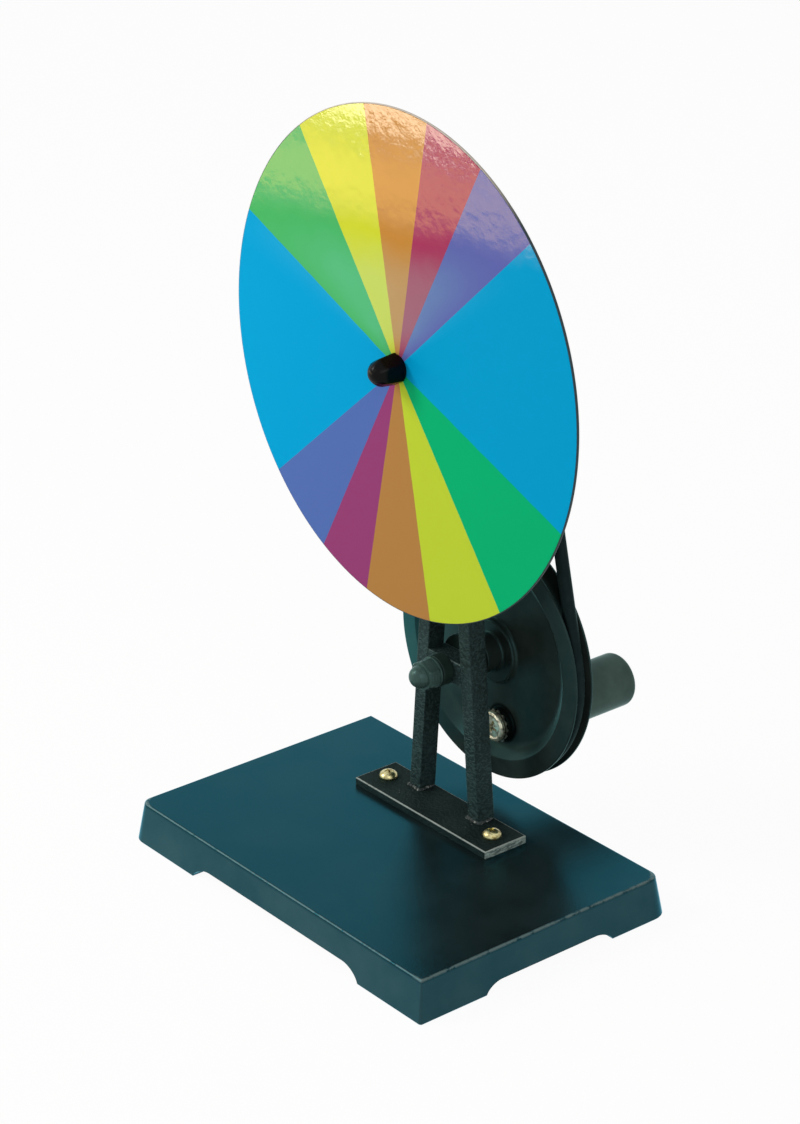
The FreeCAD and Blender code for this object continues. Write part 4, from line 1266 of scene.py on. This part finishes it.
def make_foot_nuts():
    low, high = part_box("foot_nuts")
    flats, bevelled = six_sided(NUT_APOTHEM, 0.985), six_sided(NUT_APOTHEM, 0.9)
    bm = bmesh.new()
    for spot in foot_spots:
        lathe([(NUT_BORE, low.z), (bevelled, low.z), (flats, low.z + NUT_EDGE),
               (flats, high.z - NUT_EDGE), (bevelled, high.z), (NUT_BORE, high.z)],
              spot, 72, "Z", bm)
    finish_mesh(bm, "foot_hex_nuts", yellow_zinc, "stand", ["foot_nuts"])
    low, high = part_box("foot_washers")
    outer = (high.y - low.y) / 2
    bm = bmesh.new()
    for spot in foot_spots:
        lathe(rounded([(NUT_BORE, low.z, 0.1 * MM), (outer, low.z, 0.15 * MM),
                       (outer, high.z, 0.15 * MM), (NUT_BORE, high.z, 0.1 * MM)]),
              spot, 64, "Z", bm)
    finish_mesh(bm, "foot_plain_washers", yellow_zinc, "stand", ["foot_washers"])


make_foot_nuts()
sleeve = frame["nodes"]["crank_sleeve"].data
sleeve.materials.clear()
sleeve.materials.append(turned_steel.material)

# %% [markdown]
# The belt
#
# An open belt is two arcs and the two straight runs that touch both. A circle is carried along
# that line, with short steps on the arcs.

# %% Drive belt
def belt_line():
    """Points and directions along the belt's centre line, once round."""
    tilt = math.asin((drive_pitch - small_pitch) / (spindle_at.z - axle_at.z))
    places = []
    for centre, radius, start, sweep, steps in (
            (spindle_at, small_pitch, tilt, math.pi - 2 * tilt, 48),
            (axle_at, drive_pitch, math.pi - tilt, math.pi + 2 * tilt, 96)):
        for step in range(steps + 1):
            turn = start + sweep * step / steps
            out = Vector((math.cos(turn), 0, math.sin(turn)))
            places.append((Vector((centre.x, belt_plane, centre.z)) + out * radius, out))
    return places


def make_belt():
    bm = bmesh.new()
    rings = []
    for middle, out in belt_line():
        turns = [2 * math.pi * k / 20 for k in range(20)]
        rings.append([bm.verts.new(middle + out * (belt_radius * math.cos(turn))
                                   + Vector((0, belt_radius * math.sin(turn), 0)))
                      for turn in turns])
    skin(bm, rings)
    finish_mesh(bm, "round_belt", belt_rubber, "stand", ["drive_belt"])


make_belt()

# %% [markdown]
# The disc
#
# Two pieces, as on the real one: a board with a dark edge, and the print with its film, which stops
# a third of a millimetre short of the board's rim.

# %% Disc board and print
FILM = 0.12 * MM
turned("disc_board", disc_board, "disc_spindle", spindle_at,
       [[(SHAFT_FIT, disc_front + FILM, 0), (disc_radius, disc_front + FILM, 0.15 * MM),
         (disc_radius, disc_back, 0.55 * MM), (SHAFT_FIT, disc_back, 0)]], ["color_disc"], 256)
film_radius = disc_radius - 0.35 * MM
turned("printed_film", sector_print, "disc_spindle", spindle_at,
       [[(SHAFT_FIT, disc_front, 0), (film_radius, disc_front, 0.05 * MM),
         (film_radius, disc_front + FILM, 0), (SHAFT_FIT, disc_front + FILM, 0)]], [], 256)

# %% [markdown]
# Floor and surroundings
#
# The photograph's ground is plain white. The floor is white paper that also glows a little for
# rays that come from the camera or off something shiny, so it shows as white and still takes a
# soft shadow. The world does the same behind it, and is weaker as a light than it looks.

# %% Floor
def seen_rays(nodes, links):
    """1 for rays from the camera, from a glossy surface or through glass, else 0."""
    path = nodes.new("ShaderNodeLightPath")
    last = path.outputs["Is Camera Ray"]
    for name in ("Is Glossy Ray", "Is Transmission Ray"):
        both = nodes.new("ShaderNodeMath")
        both.operation = "MAXIMUM"
        links.new(last, both.inputs[0])
        links.new(path.outputs[name], both.inputs[1])
        last = both.outputs[0]
    return last


GLOW_SHARE = 0.95


def make_floor():
    bm = bmesh.new()
    bmesh.ops.create_grid(bm, x_segments=1, y_segments=1, size=3.0)
    mesh = bpy.data.meshes.new("table_top")
    bm.to_mesh(mesh)
    bm.free()
    floor = bpy.data.objects.new("table_top", mesh)
    bpy.context.scene.collection.objects.link(floor)
    paper = Paint("white_paper", Roughness=0.9, Specular_IOR_Level=0.1)
    paper.feed("Base Color", paper.mix(paper.grain(0.4, 2), (0.93, 0.93, 0.93, 1),
                                       (0.96, 0.96, 0.96, 1)))
    tree = paper.tree
    glow = tree.nodes.new("ShaderNodeEmission")
    glow.inputs["Strength"].default_value = 1.0
    blend = tree.nodes.new("ShaderNodeMixShader")
    share = Link(paper, seen_rays(tree.nodes, tree.links)) * GLOW_SHARE
    paper.join(share, blend.inputs[0])
    tree.links.new(paper.shaders[0].outputs[0], blend.inputs[1])
    tree.links.new(glow.outputs[0], blend.inputs[2])
    tree.links.new(blend.outputs[0], tree.nodes["Material Output"].inputs["Surface"])
    mesh.materials.append(paper.material)


make_floor()

# %% [markdown]
# Light
#
# A large soft key stands to the front left, as the disc's shadow on the wheel tells, and a weaker
# fill to the right. Two low strips near the disc are what its loose film mirrors near the top.

# %% World and lamps
AMBIENT = 0.38


def make_world():
    world = bpy.data.worlds.new("studio")
    bpy.context.scene.world = world
    world.use_nodes = True
    nodes, links = world.node_tree.nodes, world.node_tree.links
    background = nodes["Background"]
    background.inputs["Color"].default_value = (1, 1, 1, 1)
    direct = nodes.new("ShaderNodeMath")
    direct.operation = "MULTIPLY_ADD"
    direct.inputs[1].default_value = 1 - AMBIENT
    direct.inputs[2].default_value = AMBIENT
    links.new(seen_rays(nodes, links), direct.inputs[0])
    links.new(direct.outputs[0], background.inputs["Strength"])


make_world()


def add_lamp(name, spot, target, size, power, roll=0.0, tint=(1, 1, 1)):
    light = bpy.data.lights.new(name, "AREA")
    light.shape = "RECTANGLE"
    light.size, light.size_y = size
    light.energy = power
    light.color = tint
    lamp = bpy.data.objects.new(name, light)
    bpy.context.scene.collection.objects.link(lamp)
    lamp.location = spot
    aim = Vector(target) - Vector(spot)
    lamp.rotation_mode = "QUATERNION"
    lamp.rotation_quaternion = aim.to_track_quat("-Z", "Y") @ Quaternion((0, 0, 1), roll)
    print("lamp:", name, round(power, 2), "W")


add_lamp("key", (-0.9, -1.1, 1.15), (0, 0, 0.12), (0.6, 0.6), 12.8)
add_lamp("fill", (1.3, -0.6, 0.9), (0, 0, 0.12), (1.0, 1.0), 4.4)

# %% [markdown]
# Two small strips lie where the camera's rays go after the top of the disc has mirrored them, a
# third of a metre in front of it. A warm one gives the film its hazy band, a white one the bright
# band along the rim; the gap between them is the darker stripe between the two bands.

# %% Lamps that the film mirrors
MIRRORED = Vector((-0.2805, -0.2108, 0.1527))
MIRRORED_UP = Vector((-0.226, -0.182, 0.956))
DISC_TOP = Vector((-0.0118, 0.0053, 0.2564))


def mirrored_lamp(name, raised, height, tilt, radiance, tint):
    """A long strip of a given brightness, raised and tilted as the disc's film shows it."""
    size = (0.24, height)
    shift = MIRRORED_UP * raised
    add_lamp(name, MIRRORED + shift, DISC_TOP + shift, size,
             radiance * math.pi * size[0] * size[1], math.radians(-tilt), tint)


mirrored_lamp("haze_strip", -5 * MM, 24 * MM, 13, 3.2, (1.0, 0.6, 0.1))
mirrored_lamp("rim_strip", 34 * MM, 26 * MM, 16, 10, (1.0, 0.86, 0.62))

# %% [markdown]
# Camera
#
# The photograph's camera, from a fit to the edges of the base, the disc, the uprights and the
# wheel: a long lens about 1.1 m away, above and to the right of the disc's face.

# %% Camera
FOCAL_PIXELS, PHOTO_HEIGHT, SENSOR = 3065.2, 1124, 36


def make_camera():
    azimuth = math.radians(50.84)
    elevation = math.radians(24.03)
    roll = math.radians(-0.278)
    distance = 1.0941
    right_shift, up_shift = 0.0020, 0.1112
    back = Vector((math.sin(azimuth) * math.cos(elevation),
                   -math.cos(azimuth) * math.cos(elevation), math.sin(elevation)))
    level = Vector((math.cos(azimuth), math.sin(azimuth), 0))
    upright = back.cross(level)
    right = level * math.cos(roll) + upright * math.sin(roll)
    up = upright * math.cos(roll) - level * math.sin(roll)
    lens = bpy.data.cameras.new("camera")
    lens.sensor_fit = "AUTO"
    lens.sensor_width = SENSOR
    lens.lens = FOCAL_PIXELS / PHOTO_HEIGHT * SENSOR
    lens.clip_start, lens.clip_end = 0.05, 20
    camera = bpy.data.objects.new("camera", lens)
    bpy.context.scene.collection.objects.link(camera)
    place = right * right_shift + up * up_shift + back * distance
    turn = Matrix((right, up, back)).transposed()
    camera.matrix_world = Matrix.Translation(place) @ turn.to_4x4()
    bpy.context.scene.camera = camera
    print("camera at", [round(value, 4) for value in place], "lens", round(lens.lens, 2), "mm")


make_camera()
bpy.context.scene.view_settings.view_transform = "Standard"
